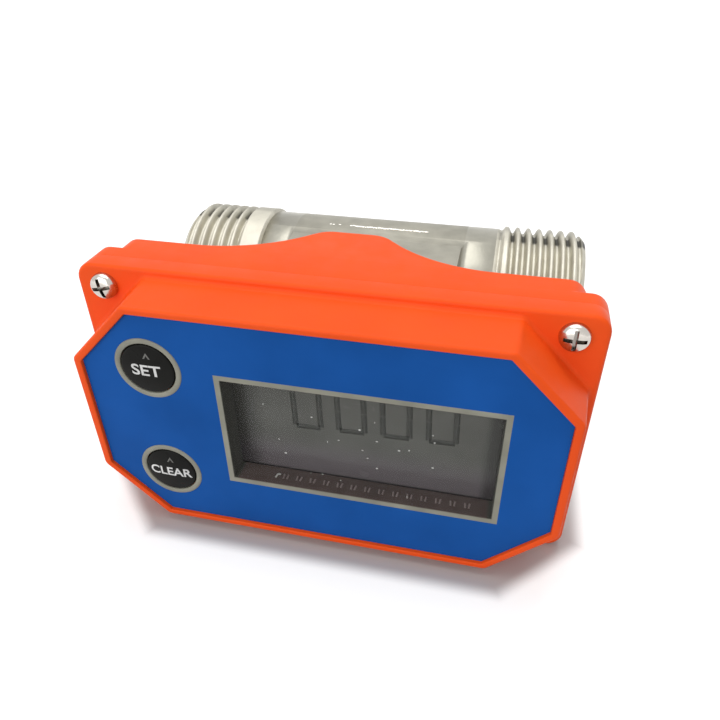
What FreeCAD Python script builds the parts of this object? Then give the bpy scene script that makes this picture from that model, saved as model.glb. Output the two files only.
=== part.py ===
import FreeCAD, Part
import math
import os

# Battery turbine flow meter: a G1 threaded steel body with a turbine cartridge,
# and a moulded display housing screwed to a pad on the body's side.
# Millimetres. X runs along the flow, -Y is the way the display faces, Z is up.
# The origin is on the flow axis, where the inlet's full thread begins.

V = FreeCAD.Vector
X_DIR = V(1, 0, 0)
Y_DIR = V(0, 1, 0)
Z_DIR = V(0, 0, 1)

# clearances and fits
running_clearance = 0.03
press_clearance = 0.05
fit_clearance = 0.1
slide_clearance = 0.15
tip_clearance = 0.4
end_float = 0.25
same_place = 1e-4              # tolerance for picking edges

# flow body
body_length = 88.0
thread_radius = 16.62          # G1, major diameter 33.25
thread_zone = 18.5             # full-diameter length at each end
end_chamfer = 1.8
step_chamfer = 0.5
body_relief = 0.62             # body radius below the thread radius
body_wall = 3.4                # between the body's outside and the end bores
seat_step = 1.1                # from the end bores down to the measuring bore
meter_bore_length = 16.0
mouth_chamfer = 0.8
boss_width = 37.0
boss_set_in = 0.5              # block top and bottom inside the body radius
boss_stand = 1.2               # block front beyond the body radius
boss_corner = 2.0
boss_root = 1.5                # fillet where the block's sides run out on the tube
pad_margin_x = 6.0             # block side to pad side
pad_margin_z = 1.5
pad_stand = 7.3                # block front to pad face
pad_corner = 5.0

# turbine cartridge
spider_length = 9.0
spider_vane_count = 4
spider_vane_thickness = 1.0
spider_vane_sink = 1.4         # how deep a vane starts below the hub surface
hub_radius = 3.6
nose_length = 6.5
rotor_hub_length = 9.0
rotor_hub_edge = 0.3
blade_count = 6
blade_margin = 0.5             # hub end to blade end
blade_lead = 62.0              # axial advance of the blade helix per turn
blade_sink = 1.1               # how deep a blade starts below the hub surface
blade_overrun = 1.0            # beyond the tip, trimmed by the tip circle
blade_root_thickness = 1.3
blade_tip_thickness = 0.8
shaft_radius = 1.0
shaft_edge = 0.3
bush_wall = 1.2
bush_length = 4.0
bush_end = 0.3                 # closed end of the bush
shaft_gap = 0.3                # shaft end to the bush's closed end
washer_land = 1.7
washer_thickness = 0.4
magnet_cover = 0.6             # hub surface to magnet
magnet_wall = 1.3
magnet_length = 3.0
ring_groove_depth = 0.8
ring_thickness = 1.2
ring_land = 1.5                # how far the snap ring stands into the bore
ring_gap_angle = 50.0
ring_lug_radius = 1.5
ring_lug_set = 0.3             # lug centre inside the ring's inner edge
ring_lug_hole_radius = 0.6

# sensor in the pad
sensor_pocket_radius = 3.2
sensor_pocket_floor = 1.0      # steel left between pocket and measuring bore
sensor_width = 4.1
sensor_height = 3.0
sensor_thickness = 1.6
sensor_round = 0.9
sensor_sleeve_length = 5.5
lead_radius = 1.1
lead_bend_radius = 3.0
grommet_wall = 0.9
grommet_flange = 1.2
grommet_flange_thickness = 0.9

# display housing, chained outwards from the pad face
neck_gasket_thickness = 1.0
neck_gasket_margin = 1.0
neck_height = 10.5             # housing back to neck face
rear_flange = 3.7
front_flange = 3.8
bezel_rise = 8.9               # flange face to overlay face
rim_height = 0.7
flange_overrun = 0.1           # flange end beyond the end of the body
flange_height = 50.2
flange_corner = 3.2
flange_edge = 0.7
flange_overhang = 3.0          # flange end beyond the rear box
box_corner = 3.5
housing_wall = 2.2
housing_side_wall = 3.0
neck_flat = 5.6                # half width where the 45 degree flank meets the neck face
neck_round = 5.0
neck_sweep = 25.6              # radius of the hollow flank that runs into the back
neck_wall = 2.4
seal_groove_width = 1.2
seal_groove_depth = 1.2
seal_margin = 0.8              # wall between cavity and seal groove
cavity_corner = 7.5
cover_screw_edge_x = 5.2       # flange end to screw
cover_screw_edge_z = 3.7
cover_screw_skin = 0.5         # rear flange left beyond the screw's end
cover_screw_radius = 1.25
cover_head_radius = 2.4
cover_head_height = 1.7
cover_head_edge = 0.6
neck_screw_edge = 4.5          # pad edge to screw
neck_screw_radius = 1.25
neck_screw_length = 10.0
neck_head_radius = 2.5
neck_head_height = 1.8

# front bezel and face
flange_step_x = 1.5            # flange edge to the foot of the bezel
flange_step_z = 1.6
bezel_foot = 0.8               # hollow fillet between the flange and the raised front
bezel_draft_x = 0.8
bezel_draft_z = 0.2
rim_width_x = 1.5
rim_width_z = 1.3
face_chamfer = 10.4
bezel_edge = 0.5
bezel_wall = 2.3
front_plate = 2.2
overlay_thickness = 0.4
window_button_gap = 6.6        # button ring to window
window_margin_x = 9.8          # window to the right end of the face
window_margin_z = 11.1
trim_width = 1.0
pane_lip = 1.8
pane_lip_thickness = 0.8
pane_step = 0.05               # pane face below the overlay face

# buttons
button_inset_x = 12.05         # left end of the face to button
button_inset_z = 10.5
button_radius = 4.8
button_crown = 0.5
button_edge = 0.4
button_travel = 0.5
ring_width = 1.0
ring_rise = 0.25
ring_edge = 0.2
button_flange_land = 1.0
button_flange_thickness = 1.0
stem_radius = 2.2
switch_size = 6.0
switch_height = 3.4
plunger_radius = 1.7
plunger_height = 1.0
plunger_depth = 1.3

# display stack and board
glass_border_x = 1.9           # window to glass edge
glass_border_z = 1.6
glass_thickness = 2.2
frame_gap = 0.2                # pane lip to display frame
frame_wall = 1.2
frame_lip = 1.2
frame_lip_thickness = 0.6
frame_corner = 1.0
strip_height = 3.0
strip_thickness = 2.0
strip_inset = 1.2
board_margin = 0.5             # gap between board and bezel wall
board_thickness = 1.6
post_edge_x = 2.9              # bezel's inner wall to post
post_edge_z = 13.3
post_radius = 2.0
board_screw_radius = 0.9
board_screw_length = 5.0
board_head_radius = 1.8
board_head_height = 1.2

# battery and electronics on the back of the board
cell_radius = 12.25
cell_thickness = 5.0
cell_edge = 0.5
cell_gap_x = 5.35              # holder to the side of the cavity
cell_gap_y = 1.2               # clip to the back of the cavity
holder_wall = 1.4
holder_floor = 0.7
clip_width = 7.0
clip_thickness = 0.3
chip_size = 10.0
chip_height = 1.4
chip_edge = 0.3
chip_gap = 5.4                 # crystal to chip
chip_z = 6.0
socket_width = 8.0
socket_depth = 4.5
socket_height = 4.0
socket_x = -4.0
socket_z = -9.0
crystal_length = 8.0
crystal_radius = 1.6
crystal_edge = 13.0            # left end of the board to crystal

# radii and reaches of the flow body
body_radius = thread_radius - body_relief
end_bore_radius = body_radius - body_wall
meter_bore_radius = end_bore_radius - seat_step
boss_height = 2 * (body_radius - boss_set_in)
boss_reach = body_radius + boss_stand
pad_width = boss_width - 2 * pad_margin_x
pad_height = boss_height - 2 * pad_margin_z
pad_reach = boss_reach + pad_stand

# cartridge sizes that follow the shaft and hub
bush_radius = shaft_radius + bush_wall
washer_radius = shaft_radius + washer_land
shaft_engagement = bush_length - bush_end - shaft_gap
magnet_outer_radius = hub_radius - magnet_cover
magnet_inner_radius = magnet_outer_radius - magnet_wall
blade_axial = rotor_hub_length - 2 * blade_margin

# housing sizes; the flange is as long as the body
flange_width = body_length + 2 * flange_overrun
box_width = flange_width - 2 * flange_overhang
face_width = flange_width - 2 * (flange_step_x + bezel_draft_x + rim_width_x)
face_height = flange_height - 2 * (flange_step_z + bezel_draft_z + rim_width_z)
cover_screw_x = flange_width / 2 - cover_screw_edge_x
cover_screw_z = flange_height / 2 - cover_screw_edge_z
cover_screw_length = front_flange + rear_flange - cover_screw_skin
neck_screw_z = pad_height / 2 - neck_screw_edge

# buttons, window and display, from the middle of the face
button_x = button_inset_x - face_width / 2
button_z = face_height / 2 - button_inset_z
ring_outer_radius = button_radius + slide_clearance + ring_width
window_left = button_x + ring_outer_radius + window_button_gap
window_right = face_width / 2 - window_margin_x
window_width = window_right - window_left
window_x = (window_left + window_right) / 2
window_height = face_height - 2 * window_margin_z
glass_width = window_width + 2 * glass_border_x
glass_height = window_height + 2 * glass_border_z
glass_depth = overlay_thickness + front_plate + pane_lip_thickness + frame_gap + frame_lip_thickness
post_x = face_width / 2 + rim_width_x - bezel_wall - post_edge_x
post_z = face_height / 2 + rim_width_z - bezel_wall - post_edge_z
cell_reach = cell_radius + fit_clearance + holder_wall
cell_x = box_width / 2 - housing_side_wall - cell_gap_x - cell_reach
crystal_x = crystal_edge + board_margin + bezel_wall - rim_width_x - face_width / 2
chip_x = crystal_x + crystal_radius + chip_gap + chip_size / 2

# places along X, from the start of the inlet's full thread
inlet_x = -end_chamfer
middle_x = inlet_x + body_length / 2
meter_in = middle_x - meter_bore_length / 2

# places along Y, from the flow axis to the face; the housing is as deep as what it holds
display_depth = glass_depth + glass_thickness + strip_height + board_thickness
battery_depth = holder_floor + cell_thickness + clip_thickness + cell_gap_y
back_depth = display_depth + battery_depth + housing_wall - rear_flange - front_flange - bezel_rise
pad_y = -pad_reach
neck_y = pad_y - neck_gasket_thickness
back_y = neck_y - neck_height
rear_flange_y = back_y - back_depth
parting_y = rear_flange_y - rear_flange
flange_y = parting_y - front_flange
face_y = flange_y - bezel_rise
rim_y = face_y - rim_height
plate_front_y = face_y + overlay_thickness
plate_back_y = plate_front_y + front_plate
glass_y = face_y + glass_depth
glass_back_y = glass_y + glass_thickness
board_y = glass_back_y + strip_height
board_back_y = board_y + board_thickness


# ---- shapes used by many pieces ----

def cylinder(radius, start, direction, length):
    return Part.makeCylinder(radius, length, start, direction)


def box(x0, x1, y0, y1, z0, z1):
    return Part.makeBox(x1 - x0, y1 - y0, z1 - z0, V(x0, y0, z0))


def centred_plate(width, height, y0, y1, x=0.0, z=0.0, corner=0.0):
    """A plate facing Y, its corners rounded when a corner radius is given."""
    centre_x = middle_x + x
    plate = box(centre_x - width / 2, centre_x + width / 2, y0, y1,
                z - height / 2, z + height / 2)
    if corner > 0:
        plate = plate.makeFillet(corner, edges_along(plate, Y_DIR))
    return plate


def edges_along(shape, direction):
    found = []
    for edge in shape.Edges:
        if edge.Curve.TypeId == "Part::GeomLine":
            if abs(edge.tangentAt(edge.FirstParameter).dot(direction)) > 0.999:
                found.append(edge)
    return found


def edges_at_y(shape, y):
    """Edges that lie wholly in the plane at y."""
    return [edge for edge in shape.Edges
            if abs(edge.BoundBox.YMin - y) < same_place and abs(edge.BoundBox.YMax - y) < same_place]


def edges_near(shape, places):
    """Edges whose middle lies at one of the places."""
    return [edge for edge in shape.Edges
            if any(edge.CenterOfMass.distanceToPoint(place) < same_place for place in places)]


def octagon_wire(width, height, chamfer, y):
    half_x = width / 2
    half_z = height / 2
    corners = [(half_x, half_z - chamfer), (half_x - chamfer, half_z),
               (chamfer - half_x, half_z), (-half_x, half_z - chamfer),
               (-half_x, chamfer - half_z), (chamfer - half_x, -half_z),
               (half_x - chamfer, -half_z), (half_x, chamfer - half_z)]
    points = [V(middle_x + x, y, z) for x, z in corners]
    return Part.makePolygon(points + points[:1])


def octagon_plate(width, height, chamfer, y0, y1):
    return Part.Face(octagon_wire(width, height, chamfer, y0)).extrude(V(0, y1 - y0, 0))


def grown_chamfer(chamfer, grow_x, grow_z):
    """Chamfer of an octagon grown by different amounts on its sides and ends."""
    mean_growth = (grow_x + grow_z) / 2
    return chamfer + mean_growth * (2 - math.sqrt(2))


def mirrored(shape, x=False, z=False):
    centre = V(middle_x, 0, 0)
    result = shape
    if x:
        result = result.mirror(centre, X_DIR)
    if z:
        result = result.mirror(centre, Z_DIR)
    return result


def four_ways(shape):
    return [shape, mirrored(shape, x=True), mirrored(shape, z=True),
            mirrored(shape, x=True, z=True)]


def turned_about_flow(shape, angle):
    copy = shape.copy()
    copy.rotate(V(0, 0, 0), X_DIR, angle)
    return copy


def revolved_about_flow(points):
    """Solid turned about the flow axis from (x, radius) points."""
    outline = [V(x, 0, radius) for x, radius in points]
    return Part.Face(Part.makePolygon(outline + outline[:1])).revolve(V(0, 0, 0), X_DIR, 360)


def from_outlet_end(shape):
    """The same piece, facing the other way, at the other end of the body."""
    return shape.mirror(V(middle_x, 0, 0), X_DIR)


def screw(shank_radius, shank_length, head_radius, head_height, seat, direction):
    """Screw driven along direction, its head standing back from the seat."""
    shank = cylinder(shank_radius, seat, direction, shank_length)
    head = cylinder(head_radius, seat, direction * -1, head_height)
    return head.fuse(shank).removeSplitter()


# ---- flow body ----

def body_tube():
    """Outside of the body, with the full thread diameter at both ends."""
    half = revolved_about_flow([
        (inlet_x, 0),
        (inlet_x, thread_radius - end_chamfer),
        (inlet_x + end_chamfer, thread_radius),
        (inlet_x + thread_zone - step_chamfer, thread_radius),
        (inlet_x + thread_zone, body_radius),
        (middle_x, body_radius),
        (middle_x, 0),
    ])
    return half.fuse(from_outlet_end(half)).removeSplitter()


def bore_space():
    """Everything bored out of the body: mouths, ring grooves and measuring bore."""
    ring_wall = meter_in - spider_length
    groove_radius = end_bore_radius + ring_groove_depth
    half = revolved_about_flow([
        (inlet_x, 0),
        (inlet_x, end_bore_radius + mouth_chamfer),
        (inlet_x + mouth_chamfer, end_bore_radius),
        (ring_wall - ring_thickness, end_bore_radius),
        (ring_wall - ring_thickness, groove_radius),
        (ring_wall, groove_radius),
        (ring_wall, end_bore_radius),
        (meter_in, end_bore_radius),
        (meter_in, meter_bore_radius),
        (middle_x, meter_bore_radius),
        (middle_x, 0),
    ])
    return half.fuse(from_outlet_end(half))


def body_boss():
    """The cast block on the tube's side and the raised pad in front of it."""
    block = centred_plate(boss_width, boss_height, -boss_reach, 0)
    block = block.makeFillet(boss_corner, edges_at_y(block, -boss_reach))
    pad = centred_plate(pad_width, pad_height, pad_y, -boss_reach, corner=pad_corner)
    return block.fuse(pad)


def on_tube(edge):
    """Whether an edge lies on the body's outside diameter, where the block's side meets it."""
    middle = edge.valueAt((edge.FirstParameter + edge.LastParameter) / 2)
    across = abs(middle.x - middle_x)
    return (abs(math.hypot(middle.y, middle.z) - body_radius) < same_place
            and abs(across - boss_width / 2) < same_place)


def flow_body():
    outside = body_tube().fuse(body_boss()).removeSplitter()
    outside = outside.makeFillet(boss_root, [edge for edge in outside.Edges if on_tube(edge)])
    pocket_end = meter_bore_radius + sensor_pocket_floor
    pocket = cylinder(sensor_pocket_radius, V(middle_x, pad_y, 0), Y_DIR, pad_reach - pocket_end)
    tapped = cylinder(neck_screw_radius, V(middle_x, pad_y, neck_screw_z), Y_DIR, neck_screw_depth())
    return outside.cut([bore_space(), pocket, tapped, mirrored(tapped, z=True)]).removeSplitter()


def neck_screw_depth():
    """How far the neck screws reach into the pad."""
    return neck_screw_length - neck_wall - neck_gasket_thickness


# ---- turbine cartridge ----

def spider():
    """Flow straightener that seats on the inlet shoulder and carries the rotor bush."""
    seat = meter_in
    start = seat - spider_length
    hub_end = rotor_start() - washer_thickness - end_float
    ring_outer = end_bore_radius - press_clearance
    ring_inner = ring_outer - seat_step
    ring = revolved_about_flow([(start, ring_outer), (seat, ring_outer),
                                (seat, ring_inner), (start, ring_inner)])
    hub = revolved_about_flow([(start, 0), (start, hub_radius), (hub_end, hub_radius), (hub_end, 0)])
    vane = box(start, seat, -spider_vane_thickness / 2, spider_vane_thickness / 2,
               hub_radius - spider_vane_sink, (ring_inner + ring_outer) / 2)
    vanes = [turned_about_flow(vane, 45 + n * 360 / spider_vane_count)
             for n in range(spider_vane_count)]
    whole = ring.fuse([hub, spider_nose(start)] + vanes)
    bush_seat = cylinder(bush_radius, V(hub_end - bush_length, 0, 0), X_DIR, bush_length)
    return whole.cut(bush_seat).removeSplitter()


def spider_nose(base):
    """Pointed nose whose flank is one arc, tangent to the hub at its base."""
    ogive = (hub_radius ** 2 + nose_length ** 2) / (2 * hub_radius)
    tip = V(base - nose_length, 0, 0)
    shoulder = V(base, 0, hub_radius)
    half_angle = math.asin(nose_length / ogive) / 2
    middle = V(base - ogive * math.sin(half_angle), 0, hub_radius - ogive * (1 - math.cos(half_angle)))
    outline = [Part.Arc(tip, middle, shoulder).toShape(),
               Part.makeLine(shoulder, V(base, 0, 0)),
               Part.makeLine(V(base, 0, 0), tip)]
    return Part.Face(Part.Wire(outline)).revolve(V(0, 0, 0), X_DIR, 360)


def rotor_start():
    return middle_x - rotor_hub_length / 2


def bush():
    end = rotor_start() - washer_thickness - end_float
    inner = shaft_radius + running_clearance
    sleeve = cylinder(bush_radius, V(end - bush_length, 0, 0), X_DIR, bush_length)
    hole = cylinder(inner, V(end - bush_length + bush_end, 0, 0), X_DIR, bush_length)
    return sleeve.cut(hole)


def blade_section(radius, thickness):
    """Lens-shaped blade section at a radius, set to the helix angle there."""
    angle = math.atan(2 * math.pi * radius / blade_lead)
    half_chord = blade_axial / 2 / math.cos(angle)
    nose = V(middle_x - half_chord, 0, radius)
    tail = V(middle_x + half_chord, 0, radius)
    upper = Part.Arc(nose, V(middle_x, thickness / 2, radius), tail).toShape()
    lower = Part.Arc(tail, V(middle_x, -thickness / 2, radius), nose).toShape()
    section = Part.Wire([upper, lower])
    section.rotate(V(middle_x, 0, 0), Z_DIR, math.degrees(angle))
    return section


def rotor_blade():
    tip = meter_bore_radius - tip_clearance
    root = hub_radius - blade_sink
    middle = (root + tip) / 2
    mean_thickness = (blade_root_thickness + blade_tip_thickness) / 2
    sections = [blade_section(root, blade_root_thickness),
                blade_section(middle, mean_thickness),
                blade_section(tip + blade_overrun, blade_tip_thickness)]
    blade = Part.makeLoft(sections, True)
    envelope = cylinder(tip, V(rotor_start(), 0, 0), X_DIR, rotor_hub_length)
    return blade.common(envelope)


def rotor():
    start = rotor_start()
    hub = cylinder(hub_radius, V(start, 0, 0), X_DIR, rotor_hub_length)
    ends = [edge for edge in hub.Edges if edge.Curve.TypeId == "Part::GeomCircle"]
    hub = hub.makeChamfer(rotor_hub_edge, ends)
    blade = rotor_blade()
    blades = [turned_about_flow(blade, n * 360 / blade_count) for n in range(blade_count)]
    whole = hub.fuse(blades)
    shaft_hole = cylinder(shaft_radius, V(start, 0, 0), X_DIR, rotor_hub_length)
    magnet_seat = cylinder(magnet_outer_radius, magnet_place(), X_DIR, magnet_length)
    magnet_core = cylinder(magnet_inner_radius, magnet_place(), X_DIR, magnet_length)
    return whole.cut([shaft_hole, magnet_seat.cut(magnet_core)]).removeSplitter()


def magnet_place():
    return V(middle_x + rotor_hub_length / 2 - magnet_length, 0, 0)


def rotor_magnet():
    ring = cylinder(magnet_outer_radius, magnet_place(), X_DIR, magnet_length)
    return ring.cut(cylinder(magnet_inner_radius, magnet_place(), X_DIR, magnet_length))


def rotor_shaft():
    reach = rotor_hub_length / 2 + washer_thickness + end_float + shaft_engagement
    shaft = cylinder(shaft_radius, V(middle_x - reach, 0, 0), X_DIR, 2 * reach)
    ends = [edge for edge in shaft.Edges if edge.Curve.TypeId == "Part::GeomCircle"]
    return shaft.makeChamfer(shaft_edge, ends)


def thrust_washers():
    start = rotor_start() - washer_thickness
    washer = cylinder(washer_radius, V(start, 0, 0), X_DIR, washer_thickness)
    washer = washer.cut(cylinder(shaft_radius, V(start, 0, 0), X_DIR, washer_thickness))
    return Part.makeCompound([washer, from_outlet_end(washer)])


def retaining_ring():
    """Internal snap ring with two plier lugs beside its gap."""
    start = meter_in - spider_length - ring_thickness
    outer = end_bore_radius + ring_groove_depth - fit_clearance
    inner = end_bore_radius - ring_land
    ring = cylinder(outer, V(start, 0, 0), X_DIR, ring_thickness)
    ring = ring.cut(cylinder(inner, V(start, 0, 0), X_DIR, ring_thickness))
    half_gap = math.radians(ring_gap_angle / 2)
    far = 2 * outer
    gap = Part.Face(Part.makePolygon([
        V(start, 0, 0),
        V(start, far * math.sin(half_gap), -far * math.cos(half_gap)),
        V(start, -far * math.sin(half_gap), -far * math.cos(half_gap)),
        V(start, 0, 0)])).extrude(V(ring_thickness, 0, 0))
    ring = ring.cut(gap)
    lug_centre = inner - ring_lug_set
    angle = half_gap + math.asin(ring_lug_radius / lug_centre)
    for side in (1, -1):
        centre = V(start, side * lug_centre * math.sin(angle), -lug_centre * math.cos(angle))
        ring = ring.fuse(cylinder(ring_lug_radius, centre, X_DIR, ring_thickness))
        ring = ring.cut(cylinder(ring_lug_hole_radius, centre, X_DIR, ring_thickness))
    return ring.removeSplitter()


# ---- sensor ----

def sensor_floor_y():
    return -(meter_bore_radius + sensor_pocket_floor)


def hall_sensor():
    """Flat sensor with one rounded face, its back resting on the pocket floor."""
    back = sensor_floor_y()
    front = back - sensor_height
    body = centred_plate(sensor_width, sensor_thickness, front, back)
    flat_edges = [edge for edge in edges_along(body, Y_DIR) if edge.BoundBox.ZMin > 0]
    return body.makeFillet(sensor_round, flat_edges)


def sensor_sleeve():
    """Plug that holds the sensor at the pocket floor and guides the lead."""
    front = sensor_floor_y() - sensor_height
    plug = cylinder(sensor_pocket_radius - fit_clearance / 2, V(middle_x, front, 0),
                    Y_DIR * -1, sensor_sleeve_length)
    return plug.cut(cylinder(lead_radius, V(middle_x, front, 0), Y_DIR * -1, sensor_sleeve_length))


def lead_route():
    start = V(middle_x, sensor_floor_y() - sensor_height, 0)
    socket_centre = V(middle_x + socket_x, 0, socket_z)
    turn_y = (neck_y - neck_wall + board_back_y + socket_depth) / 2
    end_y = board_back_y + socket_depth
    return [start, V(middle_x, turn_y, 0),
            V(socket_centre.x, turn_y, socket_centre.z), V(socket_centre.x, end_y, socket_centre.z)]


def bent_tube(points, radius, bend):
    """Round tube along straight runs joined by tangent arcs."""
    edges = []
    here = points[0]
    for n in range(1, len(points) - 1):
        corner = points[n]
        arriving = (corner - points[n - 1]).normalize()
        leaving = (points[n + 1] - corner).normalize()
        turn = arriving.getAngle(leaving)
        setback = bend * math.tan(turn / 2)
        arc_start = corner - arriving * setback
        arc_end = corner + leaving * setback
        inward = (leaving - arriving).normalize()
        middle = corner + inward * (bend / math.cos(turn / 2) - bend)
        edges.append(Part.makeLine(here, arc_start))
        edges.append(Part.Arc(arc_start, middle, arc_end).toShape())
        here = arc_end
    edges.append(Part.makeLine(here, points[-1]))
    path = Part.Wire(edges)
    first = (points[1] - points[0]).normalize()
    profile = Part.Wire(Part.makeCircle(radius, points[0], first))
    return path.makePipeShell([profile], True, False)


def sensor_lead():
    return bent_tube(lead_route(), lead_radius, lead_bend_radius)


def lead_grommet():
    """Rubber bush in the neck floor, flanged on the inside."""
    hole = lead_radius + grommet_wall
    length = neck_wall + grommet_flange_thickness
    core = cylinder(hole, V(middle_x, neck_y, 0), Y_DIR * -1, neck_wall)
    flange = cylinder(hole + grommet_flange, V(middle_x, neck_y - neck_wall, 0), Y_DIR * -1,
                      grommet_flange_thickness)
    through = cylinder(lead_radius, V(middle_x, neck_y, 0), Y_DIR * -1, length)
    return core.fuse(flange).cut(through).removeSplitter()


# ---- rear housing ----

def neck_profile(inset, half_width, back, face):
    """Half outline in XY, from the middle of the neck face to the side of the box, inset all round.

    The flank falls at 45 degrees, rounded into the neck face and swept into the back.
    """
    half_turn = math.pi / 8
    slope = math.sin(math.pi / 4)
    flat = neck_flat - inset * math.tan(half_turn)
    foot = flat + face - back
    convex = neck_round - inset
    run_in = convex * math.tan(half_turn)
    arc_a = (flat - run_in, face)
    arc_b = (flat + run_in * slope, face - run_in * slope)
    arc_m = (arc_a[0] + convex * math.sin(half_turn), face - convex * (1 - math.cos(half_turn)))
    sweep = neck_sweep + inset
    reach = sweep * math.tan(half_turn)
    sweep_a = (foot - reach * slope, back + reach * slope)
    sweep_b = (foot + reach, back)
    sweep_m = (sweep_b[0] - sweep * math.sin(half_turn), back + sweep * (1 - math.cos(half_turn)))
    return [(0, face), arc_a, arc_m, arc_b, sweep_a, sweep_m, sweep_b, (half_width, back)]


def neck_solid(inset, half_width, half_height, front, back, face):
    """Housing back with its neck, extruded over the height."""
    points = neck_profile(inset, half_width, back, face)

    def at(point, side):
        return V(middle_x + side * point[0], point[1], -half_height)

    edges = []
    for side in (1, -1):
        top, arc_a, arc_m, arc_b, sweep_a, sweep_m, sweep_b, outer = [at(p, side) for p in points]
        edges.append(Part.makeLine(top, arc_a))
        edges.append(Part.Arc(arc_a, arc_m, arc_b).toShape())
        edges.append(Part.makeLine(arc_b, sweep_a))
        edges.append(Part.Arc(sweep_a, sweep_m, sweep_b).toShape())
        edges.append(Part.makeLine(sweep_b, outer))
        edges.append(Part.makeLine(outer, V(outer.x, front, -half_height)))
    left_foot = V(middle_x - half_width, front, -half_height)
    right_foot = V(middle_x + half_width, front, -half_height)
    edges.append(Part.makeLine(left_foot, right_foot))
    outline = Part.Wire(Part.__sortEdges__(edges))
    return Part.Face(outline).extrude(V(0, 0, 2 * half_height))


def rear_housing():
    half_height = flange_height / 2
    flange = centred_plate(flange_width, flange_height, parting_y, rear_flange_y, corner=flange_corner)
    back_box = neck_solid(0, box_width / 2, half_height, parting_y, back_y, neck_y)
    rounding = centred_plate(box_width, flange_height, parting_y, neck_y, corner=box_corner)
    outer = flange.fuse(back_box.common(rounding)).removeSplitter()

    inner_half_height = half_height - housing_side_wall
    inner_half_width = box_width / 2 - housing_side_wall
    cavity = neck_solid(neck_wall, inner_half_width, inner_half_height, parting_y,
                        back_y - housing_wall, neck_y - neck_wall)
    limit = octagon_plate(2 * inner_half_width, 2 * inner_half_height, cavity_corner,
                          parting_y, neck_y)
    shell = outer.cut(cavity.common(limit))

    seal = housing_gasket()
    pilot = cylinder(cover_screw_radius, V(middle_x + cover_screw_x, parting_y, cover_screw_z),
                     Y_DIR, cover_screw_length - front_flange)
    neck_hole = cylinder(neck_screw_radius + fit_clearance, V(middle_x, neck_y, neck_screw_z),
                         Y_DIR * -1, neck_wall)
    lead_hole = cylinder(lead_radius + grommet_wall, V(middle_x, neck_y, 0), Y_DIR * -1, neck_wall)
    holes = four_ways(pilot) + [neck_hole, mirrored(neck_hole, z=True), lead_hole]
    return shell.cut([seal] + holes).removeSplitter()


def housing_gasket():
    """Square-section seal that follows the cavity's chamfered outline."""
    inner_w = box_width - 2 * housing_side_wall + 2 * seal_margin
    inner_h = flange_height - 2 * housing_side_wall + 2 * seal_margin
    inner_c = grown_chamfer(cavity_corner, seal_margin, seal_margin)
    outer_c = grown_chamfer(inner_c, seal_groove_width, seal_groove_width)
    end_y = parting_y + seal_groove_depth
    outer = octagon_plate(inner_w + 2 * seal_groove_width, inner_h + 2 * seal_groove_width,
                          outer_c, parting_y, end_y)
    return outer.cut(octagon_plate(inner_w, inner_h, inner_c, parting_y, end_y))


def neck_gasket():
    """Sheet seal between the pad and the neck face."""
    width = 2 * (neck_flat - neck_round * math.tan(math.pi / 8))
    sheet = centred_plate(width, pad_height - 2 * neck_gasket_margin, neck_y, pad_y)
    hole = cylinder(neck_screw_radius + fit_clearance, V(middle_x, neck_y, neck_screw_z),
                    Y_DIR, neck_gasket_thickness)
    centre = cylinder(sensor_pocket_radius, V(middle_x, neck_y, 0), Y_DIR, neck_gasket_thickness)
    return sheet.cut([hole, mirrored(hole, z=True), centre])


def neck_screws():
    seat = V(middle_x, neck_y - neck_wall, neck_screw_z)
    one = screw(neck_screw_radius, neck_screw_length, neck_head_radius, neck_head_height, seat, Y_DIR)
    return Part.makeCompound([one, mirrored(one, z=True)])


# ---- front bezel ----

def bezel_outline(y, extra_x, extra_z):
    width = face_width + 2 * (rim_width_x + extra_x)
    height = face_height + 2 * (rim_width_z + extra_z)
    chamfer = grown_chamfer(face_chamfer, rim_width_x + extra_x, rim_width_z + extra_z)
    return octagon_wire(width, height, chamfer, y)


def inside_bezel(gap, y0, y1):
    """Octagonal plate that stays a gap away from the bezel's inner wall."""
    grow_x = rim_width_x - bezel_wall - gap
    grow_z = rim_width_z - bezel_wall - gap
    return octagon_plate(face_width + 2 * grow_x, face_height + 2 * grow_z,
                         grown_chamfer(face_chamfer, grow_x, grow_z), y0, y1)


def window_opening(grow, y0, y1):
    return centred_plate(window_width + 2 * grow, window_height + 2 * grow, y0, y1, x=window_x)


def button_hole(radius, y0, y1, side):
    return cylinder(radius, V(middle_x + button_x, y0, side * button_z), Y_DIR, y1 - y0)


def board_post():
    return cylinder(post_radius, V(middle_x + post_x, plate_back_y, post_z), Y_DIR, board_y - plate_back_y)


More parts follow.
